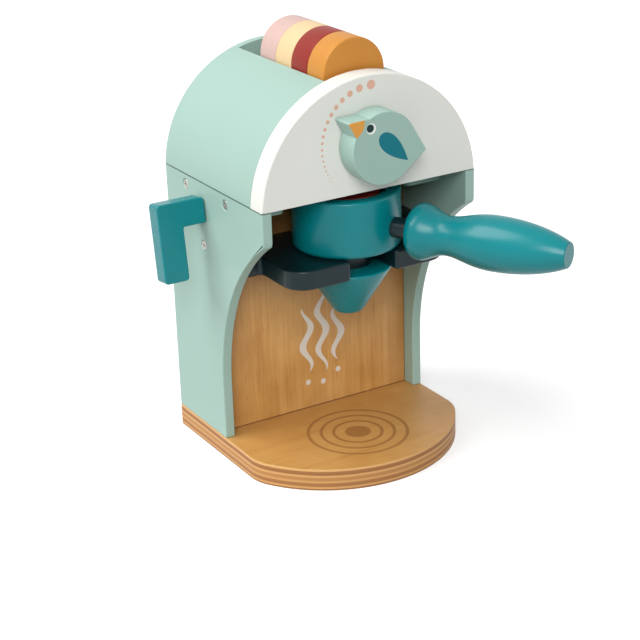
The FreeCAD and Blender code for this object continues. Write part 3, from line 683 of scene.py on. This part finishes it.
def board_finish():
    """Lacquered birch, painted shade at its sides, top and creases, and darker blotches."""
    constants = {"Coat Roughness": LACQUER_COAT_ROUGHNESS}
    material, shader, place = new_finish("lacquered_birch_board_and_shade", constants)
    colour, pores = wood_grain(place, 2)
    # Painted shade: darker towards the sides, where the panels shade the board, and towards the top
    # under the hood and fork. The blotches are the wood's own.
    sides = ((abs(place.part("X")) - SIDE_SHADE_START) / SIDE_SHADE_WIDTH).clamped()
    top_shade = ((place.part("Z") - TOP_SHADE_START) / TOP_SHADE_WIDTH).clamped()
    blotches = ((noise(place, fibred(2, *BOARD_BLOTCHES), 3.0) - 0.5) * 2.5).clamped()
    border = (sides * 0.5 + top_shade * 0.45 + blotches * 0.4).clamped()
    colour = mixed(border * (0.6 + 0.6 * pores), colour, tint(*BOARD_SHADE_AND_BLOTCH_TINT))
    # Painted shade: a fine dark line in the creases at the board's sides and foot.
    side_crease_shade = inside(BOARD_CREASE_SHADE_X - abs(place.part("X")), 0.0, 0.3)
    foot_crease_shade = inside(place.part("Z") - BASE_TOP / MM, BOARD_CREASE_SHADE_HEIGHT, 0.4)
    colour = mixed(either(side_crease_shade, foot_crease_shade) * 0.85, colour, tint(*BOARD_CREASE_SHADE))
    printed = steam_print(place) * inside(place.part("Y") - board_low.y / MM, MARK_DEPTH)
    feed(shader, {
        "Base Color": mixed(printed * (0.86 + 0.14 * pores), colour, tint(*PRINT_GREY)),
        "Roughness": LACQUER_ROUGHNESS + 0.15 * pores,
        "Coat Weight": 0.2 - 0.1 * printed,
        "Normal": relief(pores, PORE_DEPTH),
    })
    return material


board = block("board", board_low, board_high)
soften(board, BOARD_EASE, 2)
finish_piece(board, "frame", [board_finish()], ["back_board"])

# Top shelf
# A painted plate between the panels that carries the hood. Its front is cut out in a wide U,
# so that the bowl and its pod pass under the hood.
shelf_low, shelf_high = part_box("top_shelf")
bowl_low, bowl_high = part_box("portafilter_bowl")
BOWL_AXIS_Y = (bowl_low.y + bowl_high.y) / 2
BOWL_RADIUS = 33.9 * MM
SHELF_CUT_REAR = BOWL_AXIS_Y + BOWL_RADIUS + 3.8 * MM
SHELF_CUT_HALF = BOWL_RADIUS + 9.6 * MM
SHELF_CUT_ROUND = 20.0 * MM
SHELF_NOSE_ROUND = 4.0 * MM
SHELF_EASE = 0.6 * MM
PAST_FACE = 5 * MM


def upright(x, y):
    """Test for the upright edges at these places on each side of the middle."""
    def test(low, high):
        straight = high.z - low.z > 2 * MM and high.x - low.x < HAIR and high.y - low.y < HAIR
        return straight and abs(abs(low.x) - x) < NEAR and abs(low.y - y) < NEAR
    return test


shelf = block("shelf", shelf_low, shelf_high)
cut_low = (-SHELF_CUT_HALF, shelf_low.y - PAST_FACE, shelf_low.z - PAST_FACE)
cut_high = (SHELF_CUT_HALF, SHELF_CUT_REAR, shelf_high.z + PAST_FACE)
cut = block("cut", cut_low, cut_high)
round_edges(cut, upright(SHELF_CUT_HALF, SHELF_CUT_REAR), SHELF_CUT_ROUND, 16)
combine(shelf, cut, "DIFFERENCE")
round_edges(shelf, upright(SHELF_CUT_HALF, shelf_low.y), SHELF_NOSE_ROUND, 6)
soften(shelf, SHELF_EASE)
finish_piece(shelf, "frame", [mint], ["top_shelf"])

# Hood
# A half-round painted shell glued up from two curved roof blocks, a rear end and the boards of the
# slot along its top. It stands on the shelf and the panels, with a fine line of painted shade along the
# joint below it.
hood_low, hood_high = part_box("front_fascia")
roof_low, roof_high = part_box("hood_roof_left")
JOINT_Z = hood_low.z
HOOD_RISE = hood_high.z - JOINT_Z
HOOD_RADIUS = (HALF_WIDTH ** 2 + HOOD_RISE ** 2) / (2 * HOOD_RISE)
HOOD_CENTRE_Z = hood_high.z - HOOD_RADIUS
ROOF_THICKNESS = 13.0 * MM
SLOT_HALF = abs(roof_high.x)
ROOF_EASE = 0.5 * MM
SLOT_EASE = 0.2 * MM
HOOD_ARC_SIDES = 288
CORE_ARC_SIDES = 240
CORE_LENGTH = 400 * MM


def half_disc(name, front, rear):
    """Slab of the hood's outline between two planes, flat on the joint."""
    centre = (0, (front + rear) / 2, HOOD_CENTRE_Z)
    slab = drum(name, centre, "Y", HOOD_RADIUS, rear - front, HOOD_ARC_SIDES)
    slice_off(slab, (0, 0, JOINT_Z), (0, 0, -1))
    return slab


def hood_core():
    """The round space under the roof, as a solid that is longer than the hood."""
    radius = HOOD_RADIUS - ROOF_THICKNESS
    return drum("core", (0, 0, HOOD_CENTRE_Z), "Y", radius, CORE_LENGTH, CORE_ARC_SIDES)


def roof_long_edge(low, high):
    """Test for the edges along the joint and the slot. The ends stay crisp, so no seam shows."""
    along = high.y - low.y > (roof_high.y - roof_low.y) / 2
    middle = (low + high) / 2
    on_joint = abs(middle.z - JOINT_Z) < 2 * HAIR
    on_slot = abs(abs(middle.x) - SLOT_HALF) < 2 * HAIR
    return along and (on_joint or on_slot)


for side, word in ((-1, "left"), (1, "right")):
    roof = half_disc(word + "_roof", roof_low.y, roof_high.y)
    slice_off(roof, (side * SLOT_HALF, 0, 0), (-side, 0, 0))
    combine(roof, hood_core(), "DIFFERENCE")
    round_edges(roof, roof_long_edge, ROOF_EASE, 4)
    smooth(roof)
    finish_piece(roof, "frame", [mint], ["hood_roof_" + word])
    wall = block(word + "_slot_wall", *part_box("slot_wall_" + word))
    combine(wall, hood_core(), "INTERSECT")
    soften(wall, SLOT_EASE, 2)
    finish_piece(wall, "frame", [mint], ["slot_wall_" + word])
rear_low, rear_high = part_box("hood_rear_end")
rear_end = half_disc("rear_end", rear_low.y, rear_high.y)
round_edges(rear_end, lambda low, high: low.y > rear_high.y - HAIR, ROOF_EASE, 4)
smooth(rear_end)
finish_piece(rear_end, "frame", [mint], ["hood_rear_end"])
slot_floor = block("slot_base", *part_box("slot_floor"))
soften(slot_floor, SLOT_EASE, 2)
finish_piece(slot_floor, "frame", [mint], ["slot_floor"])

# Fascia
# A thick half disc in white paint that closes the hood in front, its face's rim rounded over.
# A scale of dots that shrink round the dial is screened on the face in a warm pink.
FASCIA_FACE_EASE = 1.1 * MM
FASCIA_EASE = 0.4 * MM
KNOB_Z = 213.0
SCALE_RADIUS = 34.4
SCALE_CENTRE_X = 0.9
DOT_COUNT = 19
DOT_LAST = 0.25
DOT_STEADY = 1.35
DOT_FIRST = 1.25
DOT_SHRINK = 0.62
DOT_SPREAD = 1.25
DOT_GAP = 1.6
WHITE = (226, 227, 220)
WHITE_PALE = (232, 232, 226)
WHITE_ROUGHNESS = 0.42
DOT_PINK = (224, 176, 154)


def dot_radius(number):
    """Radius of a dot, which falls fast at first and then steadily."""
    return DOT_LAST + DOT_STEADY * (1 - number / (DOT_COUNT - 1)) + DOT_FIRST * DOT_SHRINK ** number


def on_plane(place, y):
    """The place moved straight forward or back onto an upright plane."""
    return place.add("ShaderNodeCombineXYZ", {}, {0: place.part("X"), 1: y, 2: place.part("Z")})


def scale_marks(place):
    """Printed dots, each smaller and nearer the next, from the top round to the left."""
    face = hood_low.y / MM
    flat_place = on_plane(place, face)
    angle = 0.0
    dots = []
    for number in range(DOT_COUNT):
        x = SCALE_CENTRE_X - SCALE_RADIUS * math.sin(angle)
        z = KNOB_Z + SCALE_RADIUS * math.cos(angle)
        dots.append(inside(flat_place.distance((x, face, z)), dot_radius(number)))
        both = dot_radius(number) + dot_radius(number + 1)
        angle += (DOT_SPREAD * both + DOT_GAP) / SCALE_RADIUS
    return [(either(*dots) * inside(place.part("Y") - face, MARK_DEPTH), DOT_PINK)]


fascia = half_disc("fascia", hood_low.y, hood_high.y)
round_edges(fascia, lambda low, high: high.y < hood_low.y + HAIR, FASCIA_FACE_EASE, 4)
soften(fascia, FASCIA_EASE)
white = paint("white_satin_paint", WHITE, WHITE_PALE, WHITE_ROUGHNESS, scale_marks)
finish_piece(fascia, "frame", [white], ["front_fascia"])

# Fork
# A navy painted plate across the machine, with two prongs round a slot that is open to the front.
# Its edges are rounded over, and screws from behind the back board hold its bar.
fork_low, fork_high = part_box("fork_holder")
FORK_BAR_FRONT = BOWL_AXIS_Y + 9.2 * MM
FORK_HALF = fork_high.x - 13.0 * MM
FORK_CORNER = 14.0 * MM
FORK_STEP_ROUND = 3.0 * MM
FORK_SLOT_HALF = 16.0 * MM
FORK_TIP_ROUND = 2.5 * MM
FORK_EASE = 1.3 * MM
FORK_CUT = 20 * MM
NAVY = (10, 32, 36)
NAVY_PALE = (15, 39, 43)
NAVY_ROUGHNESS = 0.24
NAVY_SHINE = 0.28
fork = block("fork", (fork_low.x, FORK_BAR_FRONT, fork_low.z), fork_high)
prongs_high = (FORK_HALF, FORK_BAR_FRONT + PAST_FACE, fork_high.z)
prongs = block("prongs", (-FORK_HALF, fork_low.y, fork_low.z), prongs_high)
round_edges(prongs, upright(FORK_HALF, fork_low.y), FORK_CORNER, 14)
combine(fork, prongs, "UNION")
round_edges(fork, upright(FORK_HALF, FORK_BAR_FRONT), FORK_STEP_ROUND, 6)
way_in = drum("way_in", (0, BOWL_AXIS_Y, fork_low.z), "Z", FORK_SLOT_HALF, 2 * FORK_CUT, 96)
mouth_low = (-FORK_SLOT_HALF, fork_low.y - PAST_FACE, fork_low.z - FORK_CUT)
mouth = block("mouth", mouth_low, (FORK_SLOT_HALF, BOWL_AXIS_Y, fork_low.z + FORK_CUT))
combine(way_in, mouth, "UNION")
combine(fork, way_in, "DIFFERENCE")
round_edges(fork, upright(FORK_SLOT_HALF, fork_low.y), FORK_TIP_ROUND, 6)
soften(fork, FORK_EASE)
navy = paint("navy_satin_paint", NAVY, NAVY_PALE, NAVY_ROUGHNESS, shine=NAVY_SHINE)
finish_piece(fork, "frame", [navy], ["fork_holder"])

# Portafilter
# A turned bowl on top of the fork and a turned cone below it, both in teal paint, with a neck
# between them that rides in the slot, darkened with painted shade. A navy dowel joins the bowl to a
# long turned grip.
spout_low, spout_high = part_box("portafilter_spout")
BOWL_BOTTOM = bowl_low.z
BOWL_TOP = bowl_high.z
BOWL_HEIGHT = BOWL_TOP - BOWL_BOTTOM
RECESS_RADIUS = 25.0 * MM
RECESS_DEPTH = 20.2 * MM
BOWL_BASE_ROUND = 3.5 * MM
BOWL_RIM_ROUND = 1.6 * MM
CONE_TOP_RADIUS = 29.0 * MM
CONE_TIP_RADIUS = 9.0 * MM
CONE_HEIGHT = 31.6 * MM
CONE_TIP_ROUND = 3.5 * MM
CONE_RIM_ROUND = 1.2 * MM
NECK_RADIUS = 15.3 * MM
HANDLE_ANGLE = 28.5
HANDLE_HEIGHT = 15.0 * MM
DOWEL_RADIUS = 6.4 * MM
DOWEL_EASE = 0.3 * MM
GLUED_IN = 2 * MM
HANDLE_START = 45.0 * MM
BOWL_MOUTH_ROUND = 1.0 * MM
BOWL_FLOOR_ROUND = 0.5 * MM
BOWL_FOOT_RING = 6.0 * MM
NECK_GAP = 0.1 * MM
NECK_SHADE_START = 0.3
GRIP_STEPS = 13
GRIP_START_RADIUS = 6.2 * MM
GRIP_END_RADIUS = 6.4 * MM
GRIP_LENGTH = 102.5
# Each knot of the grip's profile, then the control point after it and the one before it, all as
# a place along the grip and a radius.
GRIP_KNOTS = (
    ((0.0, 7.9), (0.3, 12.6), (0.0, 7.9)),
    ((7.6, 17.4), (13.6, 17.4), (3.2, 17.4)),
    ((25.5, 12.1), (34.5, 12.1), (18.0, 12.1)),
    ((56.5, 16.8), (77.0, 16.8), (41.0, 16.8)),
    ((101.7, 8.05), (102.3, 7.85), (93.0, 12.3)),
    ((GRIP_LENGTH, 7.1), (GRIP_LENGTH, 7.1), (GRIP_LENGTH, 7.6)),
)
TEAL = (0, 123, 129)
TEAL_PALE = (0, 129, 135)
# Colour of the painted shade on the neck.
NECK_SHADE = (10, 30, 34)
TEAL_ROUGHNESS = 0.2
TEAL_SHINE = 0.3


def bend(height, radius, size, start, end, steps=6):
    """Rings round part of a circle in the turning's profile, its angles from the outward direction."""
    rings = []
    for step in range(steps + 1):
        turn = math.radians(start + (end - start) * step / steps)
        rings.append((height + size * math.sin(turn), radius + size * math.cos(turn)))
    return rings


def turned(name, centre, rings, sides=144):
    """Solid turned on a lathe: a disc pushed from ring to ring, each a height and a radius."""
    height, radius = rings[0]
    bpy.ops.object.select_all(action="DESELECT")
    bpy.ops.mesh.primitive_circle_add(vertices=sides, radius=radius, fill_type="NGON",
                                      location=Vector(centre) + Vector((0, 0, height)))
    piece = fresh(name)
    bpy.ops.object.mode_set(mode="EDIT")
    bpy.ops.mesh.select_mode(type="FACE")
    bpy.ops.mesh.select_all(action="SELECT")
    for level, size in rings[1:]:
        bpy.ops.mesh.extrude_region_move(TRANSFORM_OT_translate={"value": (0, 0, level - height)})
        scale = size / radius
        middle = Vector(centre) + Vector((0, 0, level))
        bpy.ops.transform.resize(value=(scale, scale, 1), center_override=middle)
        height = level
        radius = size
    bpy.ops.mesh.select_all(action="SELECT")
    bpy.ops.mesh.remove_doubles(threshold=HAIR / 100)
    bpy.ops.mesh.normals_make_consistent(inside=False)
    bpy.ops.object.mode_set(mode="OBJECT")
    smooth(piece)
    return piece


def aim(piece, start, way):
    """Lays a piece that was turned up from the origin along a direction from its start."""
    turn = Vector(way).to_track_quat("Z", "Y").to_matrix().to_4x4()
    piece.data.transform(Matrix.Translation(Vector(start)) @ turn)


bowl_rings = [(0, BOWL_RADIUS - BOWL_BASE_ROUND - BOWL_FOOT_RING)]
bowl_rings += bend(BOWL_BASE_ROUND, BOWL_RADIUS - BOWL_BASE_ROUND, BOWL_BASE_ROUND, -90, 0, 8)
bowl_rings += bend(BOWL_HEIGHT - BOWL_RIM_ROUND, BOWL_RADIUS - BOWL_RIM_ROUND, BOWL_RIM_ROUND, 0, 90)
mouth_height = BOWL_HEIGHT - BOWL_MOUTH_ROUND
bowl_rings += bend(mouth_height, RECESS_RADIUS + BOWL_MOUTH_ROUND, BOWL_MOUTH_ROUND, 90, 180)
recess_floor = BOWL_HEIGHT - RECESS_DEPTH
bowl_rings += [(recess_floor + BOWL_FLOOR_ROUND, RECESS_RADIUS)]
bowl_rings += [(recess_floor, RECESS_RADIUS - BOWL_FLOOR_ROUND)]
bowl = turned("bowl", (0, BOWL_AXIS_Y, BOWL_BOTTOM), bowl_rings)
teal = paint("teal_satin_paint", TEAL, TEAL_PALE, TEAL_ROUGHNESS, shine=TEAL_SHINE)
finish_piece(bowl, "portafilter", [teal], ["portafilter_bowl"])

cone_lean = math.degrees(math.atan2(CONE_TOP_RADIUS - CONE_TIP_RADIUS, CONE_HEIGHT))
tip_reach = CONE_TIP_ROUND * math.tan(math.radians((90 - cone_lean) / 2))
rim_reach = CONE_RIM_ROUND * math.tan(math.radians((90 + cone_lean) / 2))
cone_rings = bend(CONE_TIP_ROUND, CONE_TIP_RADIUS - tip_reach, CONE_TIP_ROUND, -90, -cone_lean, 8)
rim_height = CONE_HEIGHT - CONE_RIM_ROUND
cone_rings += bend(rim_height, CONE_TOP_RADIUS - rim_reach, CONE_RIM_ROUND, -cone_lean, 90)
cone_rings += [(CONE_HEIGHT, NECK_RADIUS), (BOWL_BOTTOM - NECK_GAP - spout_low.z, NECK_RADIUS)]
cone = turned("cone", (0, BOWL_AXIS_Y, spout_low.z), cone_rings)


def neck_shade(place):
    """Painted shade from just over the cone upwards, on the neck under the bowl."""
    start = (spout_low.z + CONE_HEIGHT) / MM + NECK_SHADE_START
    return [(inside(start - place.part("Z"), 0.0), NECK_SHADE)]


# The cone's paint carries painted shade on the neck above the cone.
cone_paint = paint("teal_cone_paint_and_neck_shade", TEAL, TEAL_PALE, TEAL_ROUGHNESS, neck_shade, TEAL_SHINE)
finish_piece(cone, "spout_slide_body", [cone_paint], ["portafilter_spout"])

handle_turn = math.radians(HANDLE_ANGLE)
handle_way = Vector((math.sin(handle_turn), -math.cos(handle_turn), 0))
handle_root = Vector((0, BOWL_AXIS_Y, BOWL_BOTTOM + HANDLE_HEIGHT))
dowel_start = BOWL_RADIUS - GLUED_IN
dowel_length = HANDLE_START + GLUED_IN - dowel_start
dowel_rings = [(0, DOWEL_RADIUS - DOWEL_EASE), (DOWEL_EASE, DOWEL_RADIUS)]
dowel_rings += [(dowel_length - DOWEL_EASE, DOWEL_RADIUS), (dowel_length, DOWEL_RADIUS - DOWEL_EASE)]
dowel = turned("dowel", (0, 0, 0), dowel_rings, 96)
aim(dowel, handle_root + handle_way * dowel_start, handle_way)
finish_piece(dowel, "portafilter", [navy], ["handle_dowel"])

grip_rings = [(0, GRIP_START_RADIUS)]
for knot, following in zip(GRIP_KNOTS, GRIP_KNOTS[1:]):
    points = [Vector((*point, 0)) for point in (knot[0], knot[1], following[2], following[0])]
    for point in interpolate_bezier(*points, GRIP_STEPS)[0 if knot is GRIP_KNOTS[0] else 1:]:
        grip_rings.append((point.x * MM, point.y * MM))
grip_rings += [(GRIP_LENGTH * MM, GRIP_END_RADIUS)]
grip = turned("grip", (0, 0, 0), grip_rings)
aim(grip, handle_root + handle_way * HANDLE_START, handle_way)
finish_piece(grip, "portafilter", [teal], ["portafilter_handle"])

# Pods
# Painted wooden discs with rims just rounded. Four stand in the hood's slot with room for one more,
# and one lies in the bowl.
POD_RIM_ROUND = 0.8 * MM
POD_FACE_RING = 4 * MM
POD_ROUGHNESS = 0.38
# By node: the piece's name, its body, its slot, its colour and the paler tone of that colour.
PODS = {
    "pod_slot_1": ("orange_pod", "pod_1", "pod_orange", (200, 134, 54), (206, 142, 62)),
    "pod_slot_2": ("dark_red_pod", "pod_2", "pod_red", (138, 36, 26), (146, 44, 32)),
    "pod_slot_3": ("cream_pod", "pod_3", "pod_cream", (224, 194, 148), (230, 202, 158)),
    "pod_slot_4": ("pink_pod", "pod_4", "pod_pink", (204, 172, 164), (210, 180, 172)),
    "pod_in_bowl": ("pod_in_the_bowl", "pod_in_bowl", "pod_red", (138, 36, 26), (146, 44, 32)),
}
for node, (name, body, slot, colour, pale) in PODS.items():
    low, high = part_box(node)
    lying = node == "pod_in_bowl"
    thickness = high.z - low.z if lying else high.y - low.y
    radius = (high.x - low.x) / 2
    rings = [(0, radius - POD_FACE_RING)]
    rings += bend(POD_RIM_ROUND, radius - POD_RIM_ROUND, POD_RIM_ROUND, -90, 0, 5)
    rings += bend(thickness - POD_RIM_ROUND, radius - POD_RIM_ROUND, POD_RIM_ROUND, 0, 90, 5)
    rings += [(thickness, radius - POD_FACE_RING)]
    pod = turned(name, (0, 0, 0), rings)
    if lying:
        aim(pod, (0, (low.y + high.y) / 2, low.z), (0, 0, 1))
    else:
        aim(pod, (0, high.y, (low.z + high.z) / 2), (0, -1, 0))
    finish_piece(pod, body, [paint(name + "_paint", colour, pale, POD_ROUGHNESS)], [node])

# Dial
# A knob sawn as a plain bird, painted mint, with an orange beak, a round eye and a teal wing printed
# on its face. It is glued to an axle that turns in the fascia.
knob_low, knob_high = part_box("bird_knob")
KNOB_EASE = 0.55 * MM
KNOB_MARK_DEPTH = 0.25
FLAT_TURN = math.radians(0.5)
# Circles of the outline and places on it, from the dial's axle. A circle's radius comes last.
BIRD_BODY = (-0.2, -0.3, 22.0)
BIRD_TAIL = (27.3, -5.6, 1.0)
BIRD_CHEEK = (-12.5, 11.5, 7.6)
BIRD_BEAK = (-23.6, 17.9, 0.9)
BEAK_REACH = 9.6
EYE_PLACE = (-9.6, 13.1)
EYE_RADIUS = 3.3
PUPIL_PLACE = (-10.3, 13.5)
PUPIL_RADIUS = 2.45
WING_ROOT = (-3.4, 8.2)
WING_TIP = (15.6, -10.2)
WING_HALF_WIDTH = 5.6
WING_SWELL = 2.6
BEAK_ORANGE = (221, 156, 70)
EYE_WHITE = (232, 234, 230)
PUPIL = (4, 42, 42)
WING_TEAL = (0, 112, 126)


def bird_marks(place):
    """Printed areas on the bird's face: beak, eye, pupil and wing."""
    face = knob_low.y / MM
    flat_place = on_plane(place, face)
    on_face = inside(place.part("Y") - face, KNOB_MARK_DEPTH)

    def spot(centre):
        return flat_place.distance((centre[0], face, KNOB_Z + centre[1]))

    run = WING_TIP[0] - WING_ROOT[0]
    rise = WING_TIP[1] - WING_ROOT[1]
    length = math.hypot(run, rise)
    x = place.part("X") - WING_ROOT[0]
    z = place.part("Z") - (KNOB_Z + WING_ROOT[1])
    along = ((x * run + z * rise) / length ** 2).clamped()
    across = abs(x * (rise / length) - z * (run / length))
    width = (along ** 0.5) * (1 - along) * (WING_SWELL * WING_HALF_WIDTH)
    wing = inside(across, width - 0.06)
    return [
        (inside(spot(BIRD_BEAK), BEAK_REACH) * on_face, BEAK_ORANGE),
        (inside(spot(EYE_PLACE), EYE_RADIUS) * on_face, EYE_WHITE),
        (inside(spot(PUPIL_PLACE), PUPIL_RADIUS) * on_face, PUPIL),
        (wing * on_face, WING_TEAL),
    ]


def tapered(name, circles):
    """Slab of the knob's thickness, wrapped round two circles like a belt round two wheels."""
    middle = (knob_low.y + knob_high.y) / 2
    thickness = knob_high.y - knob_low.y
    (x, z, radius), (end_x, end_z, end_radius) = circles
    slab = drum(name, (x * MM, middle, (KNOB_Z + z) * MM), "Y", radius * MM, thickness, 160)
    bpy.ops.object.mode_set(mode="EDIT")
    bpy.ops.mesh.primitive_cylinder_add(
        vertices=96, radius=end_radius * MM, depth=thickness,
        location=(end_x * MM, middle, (KNOB_Z + end_z) * MM), rotation=(math.pi / 2, 0, 0),
    )
    bpy.ops.mesh.select_all(action="SELECT")
    bpy.ops.mesh.convex_hull()
    bpy.ops.mesh.select_all(action="SELECT")
    bpy.ops.mesh.dissolve_limited(angle_limit=FLAT_TURN)
    bpy.ops.object.mode_set(mode="OBJECT")
    return slab


knob = tapered("bird_dial", (BIRD_BODY, BIRD_TAIL))
combine(knob, tapered("beak", (BIRD_CHEEK, BIRD_BEAK)), "UNION")
bpy.ops.object.mode_set(mode="EDIT")
bpy.ops.mesh.select_all(action="SELECT")
bpy.ops.mesh.remove_doubles(threshold=HAIR)
bpy.ops.mesh.dissolve_limited(angle_limit=FLAT_TURN)
bpy.ops.mesh.normals_make_consistent(inside=False)
bpy.ops.object.mode_set(mode="OBJECT")
soften(knob, KNOB_EASE)
knob_paint = paint("mint_dial_paint", MINT, MINT_PALE, marks=bird_marks)
finish_piece(knob, "knob", [knob_paint], ["bird_knob"])

# Lever
# A teal painted plate sawn as a short arm with a leg that hangs from its outer end. A steel pin in
# the arm turns in the left panel, and the leg leans a little to the front.
lever_low, lever_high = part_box("steam_lever")
LEVER_THICKNESS = 12.0 * MM
LEVER_ARM_HEIGHT = 16.2 * MM
LEVER_LEG_WIDTH = 16.5 * MM
LEVER_DROP = 41.5 * MM
LEVER_Z = 165.5 * MM
LEVER_Y = PANEL_REAR - 47.6 * MM
LEVER_SWING = 7.5
LEVER_CORNER = 2.4 * MM
LEVER_EASE = 0.9 * MM
arm_bottom = LEVER_Z - LEVER_ARM_HEIGHT / 2
leg_side = lever_low.x + LEVER_LEG_WIDTH


def leg_root(low, high):
    """Test for the face under the arm's outer end."""
    return high.z < arm_bottom + HAIR and high.x < leg_side + HAIR


def lever_corner(low, high):
    """Test for the edges across the plate at its free corners."""
    across = high.y - low.y > LEVER_THICKNESS - NEAR
    free = high.x < lever_high.x - NEAR or high.z > LEVER_Z
    on_arm_bottom = abs(high.z - arm_bottom) < NEAR
    on_arm_top = abs(high.x - leg_side) < NEAR and high.z > LEVER_Z
    return across and free and not on_arm_bottom and not on_arm_top


half = Vector((0, LEVER_THICKNESS / 2, LEVER_ARM_HEIGHT / 2))
lever = block("lever", Vector((lever_low.x, LEVER_Y, LEVER_Z)) - half,
              Vector((lever_high.x, LEVER_Y, LEVER_Z)) + half)
bpy.ops.object.mode_set(mode="EDIT")
bpy.ops.mesh.select_all(action="SELECT")
bpy.ops.mesh.bisect(plane_co=(leg_side, 0, 0), plane_no=(1, 0, 0))
bpy.ops.object.mode_set(mode="OBJECT")
push_out(lever, leg_root, (0, 0, LEVER_Z - LEVER_DROP - arm_bottom))
round_edges(lever, lever_corner, LEVER_CORNER, 6)
soften(lever, LEVER_EASE)
pivot = Matrix.Translation(Vector((0, LEVER_Y, LEVER_Z)))
lever.data.transform(pivot @ Matrix.Rotation(math.radians(-LEVER_SWING), 4, "X") @ pivot.inverted())
finish_piece(lever, "lever", [teal], ["steam_lever"])

# Hidden fixings
# Wood screws from beneath the base, behind the board and under the shelf, the dowels of the hood,
# the lever's pin, and the dial's axle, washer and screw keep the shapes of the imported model.
HIDDEN_WOOD = (205, 170, 122)
HIDDEN_WOOD_DARK = (178, 138, 92)
BEECH_FIBRES = (1.2, 0.08)
BEECH_PORES = (3.0, 0.4)
BEECH_DEPTH = 0.04 * MM


def bare_wood_finish():
    """Planed beech without lacquer, its fibres running from front to back."""
    material, shader, place = new_finish("bare_beech", {})
    fibres = noise(place, fibred(1, *BEECH_FIBRES), 4.0)
    pores = noise(place, fibred(1, *BEECH_PORES))
    feed(shader, {
        "Base Color": mixed(fibres, tint(*HIDDEN_WOOD_DARK), tint(*HIDDEN_WOOD)),
        "Roughness": 0.62 + 0.15 * pores,
        "Normal": relief(fibres, BEECH_DEPTH),
    })
    return material


bare_wood = bare_wood_finish()
FIXINGS = {
    "base_screws": steel,
    "fork_screws": steel,
    "hood_screws": steel,
    "knob_washer": steel,
    "knob_screw": steel,
    "lever_pin": steel,
    "fascia_dowels": bare_wood,
    "knob_axle": bare_wood,
}
for node, material in FIXINGS.items():
    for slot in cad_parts[node].material_slots:
        slot.material = material

# Floor, light and camera
# A pale floor in soft studio light from two lamps, above to the left rear and to the left front,
# seen at the photograph's angle.
FLOOR_SIZE = 60.0
FLOOR_BOUNCE = 0.5
FLOOR_SHOWN = 0.6
FLOOR_GLOW = 0.55
FLOOR_ROUGHNESS = 0.9
AMBIENT = 0.27
# Where each lamp stands, its strength, and the degrees that its soft disc spans.
SUNS = (
    ((-0.60, 0.22, 0.77), 2.55, 44),
    ((-0.42, -0.72, 0.55), 1.85, 30),
)
CAMERA_PLACE = (-528.2 * MM, -888.63 * MM, 507.08 * MM)
CAMERA_AZIMUTH = -30.278
CAMERA_ELEVATION = 22.31
CAMERA_ROLL = -1.842
CAMERA_FOCUS = 1745.75
PICTURE_WIDTH = 640
SENSOR_WIDTH = 36.0
FAR_CLIP = 200.0


def seen_directly(tree):
    """1 for what the camera, a mirror or glass shows, and 0 for light on other surfaces."""
    rays = ("Is Camera Ray", "Is Glossy Ray", "Is Transmission Ray")
    return either(*[Shade(tree).add("ShaderNodeLightPath", {}, {}, ray) for ray in rays])


bpy.ops.object.select_all(action="DESELECT")
bpy.ops.mesh.primitive_grid_add(x_subdivisions=4, y_subdivisions=4, size=FLOOR_SIZE)
floor = fresh("floor")
floor_paint = bpy.data.materials.new("pale_floor")
floor_paint.use_nodes = True
floor_tree = floor_paint.node_tree
floor_shader = floor_tree.nodes["Principled BSDF"]
floor_shader.inputs["Roughness"].default_value = FLOOR_ROUGHNESS
floor_shader.inputs["Specular IOR Level"].default_value = 0.0
floor_shader.inputs["Emission Strength"].default_value = 1.0
direct = seen_directly(floor_tree)
feed(floor_shader, {
    "Base Color": FLOOR_BOUNCE + direct * (FLOOR_SHOWN - FLOOR_BOUNCE),
    "Emission Color": direct * FLOOR_GLOW,
})
floor.data.materials.append(floor_paint)

world = bpy.data.worlds.new("studio")
bpy.context.scene.world = world
world.use_nodes = True
background = world.node_tree.nodes["Background"]
background.inputs["Color"].default_value = (1, 1, 1, 1)
level = AMBIENT + seen_directly(world.node_tree) * (1 - AMBIENT)
world.node_tree.links.new(level.socket, background.inputs["Strength"])

for number, (direction, strength, spread) in enumerate(SUNS):
    light = bpy.data.lights.new("sun_%d" % number, "SUN")
    light.energy = strength
    light.angle = math.radians(spread)
    lamp = bpy.data.objects.new("sun_%d" % number, light)
    lamp.rotation_euler = Vector(direction).to_track_quat("Z", "Y").to_euler()
    bpy.context.scene.collection.objects.link(lamp)

azimuth = math.radians(CAMERA_AZIMUTH)
elevation = math.radians(CAMERA_ELEVATION)
backward = Vector((math.sin(azimuth), -math.cos(azimuth), math.tan(elevation))).normalized()
rightward = Vector((math.cos(azimuth), math.sin(azimuth), 0))
upward = backward.cross(rightward)
turn = Matrix((rightward, upward, backward)).transposed().to_4x4()
roll = Matrix.Rotation(math.radians(CAMERA_ROLL), 4, "Z")
lens = bpy.data.cameras.new("camera")
lens.sensor_width = SENSOR_WIDTH
lens.lens = CAMERA_FOCUS / PICTURE_WIDTH * SENSOR_WIDTH
lens.clip_end = FAR_CLIP
camera = bpy.data.objects.new("camera", lens)
camera.matrix_world = Matrix.Translation(CAMERA_PLACE) @ turn @ roll
bpy.context.scene.collection.objects.link(camera)
bpy.context.scene.camera = camera
bpy.context.scene.view_settings.view_transform = "Standard"
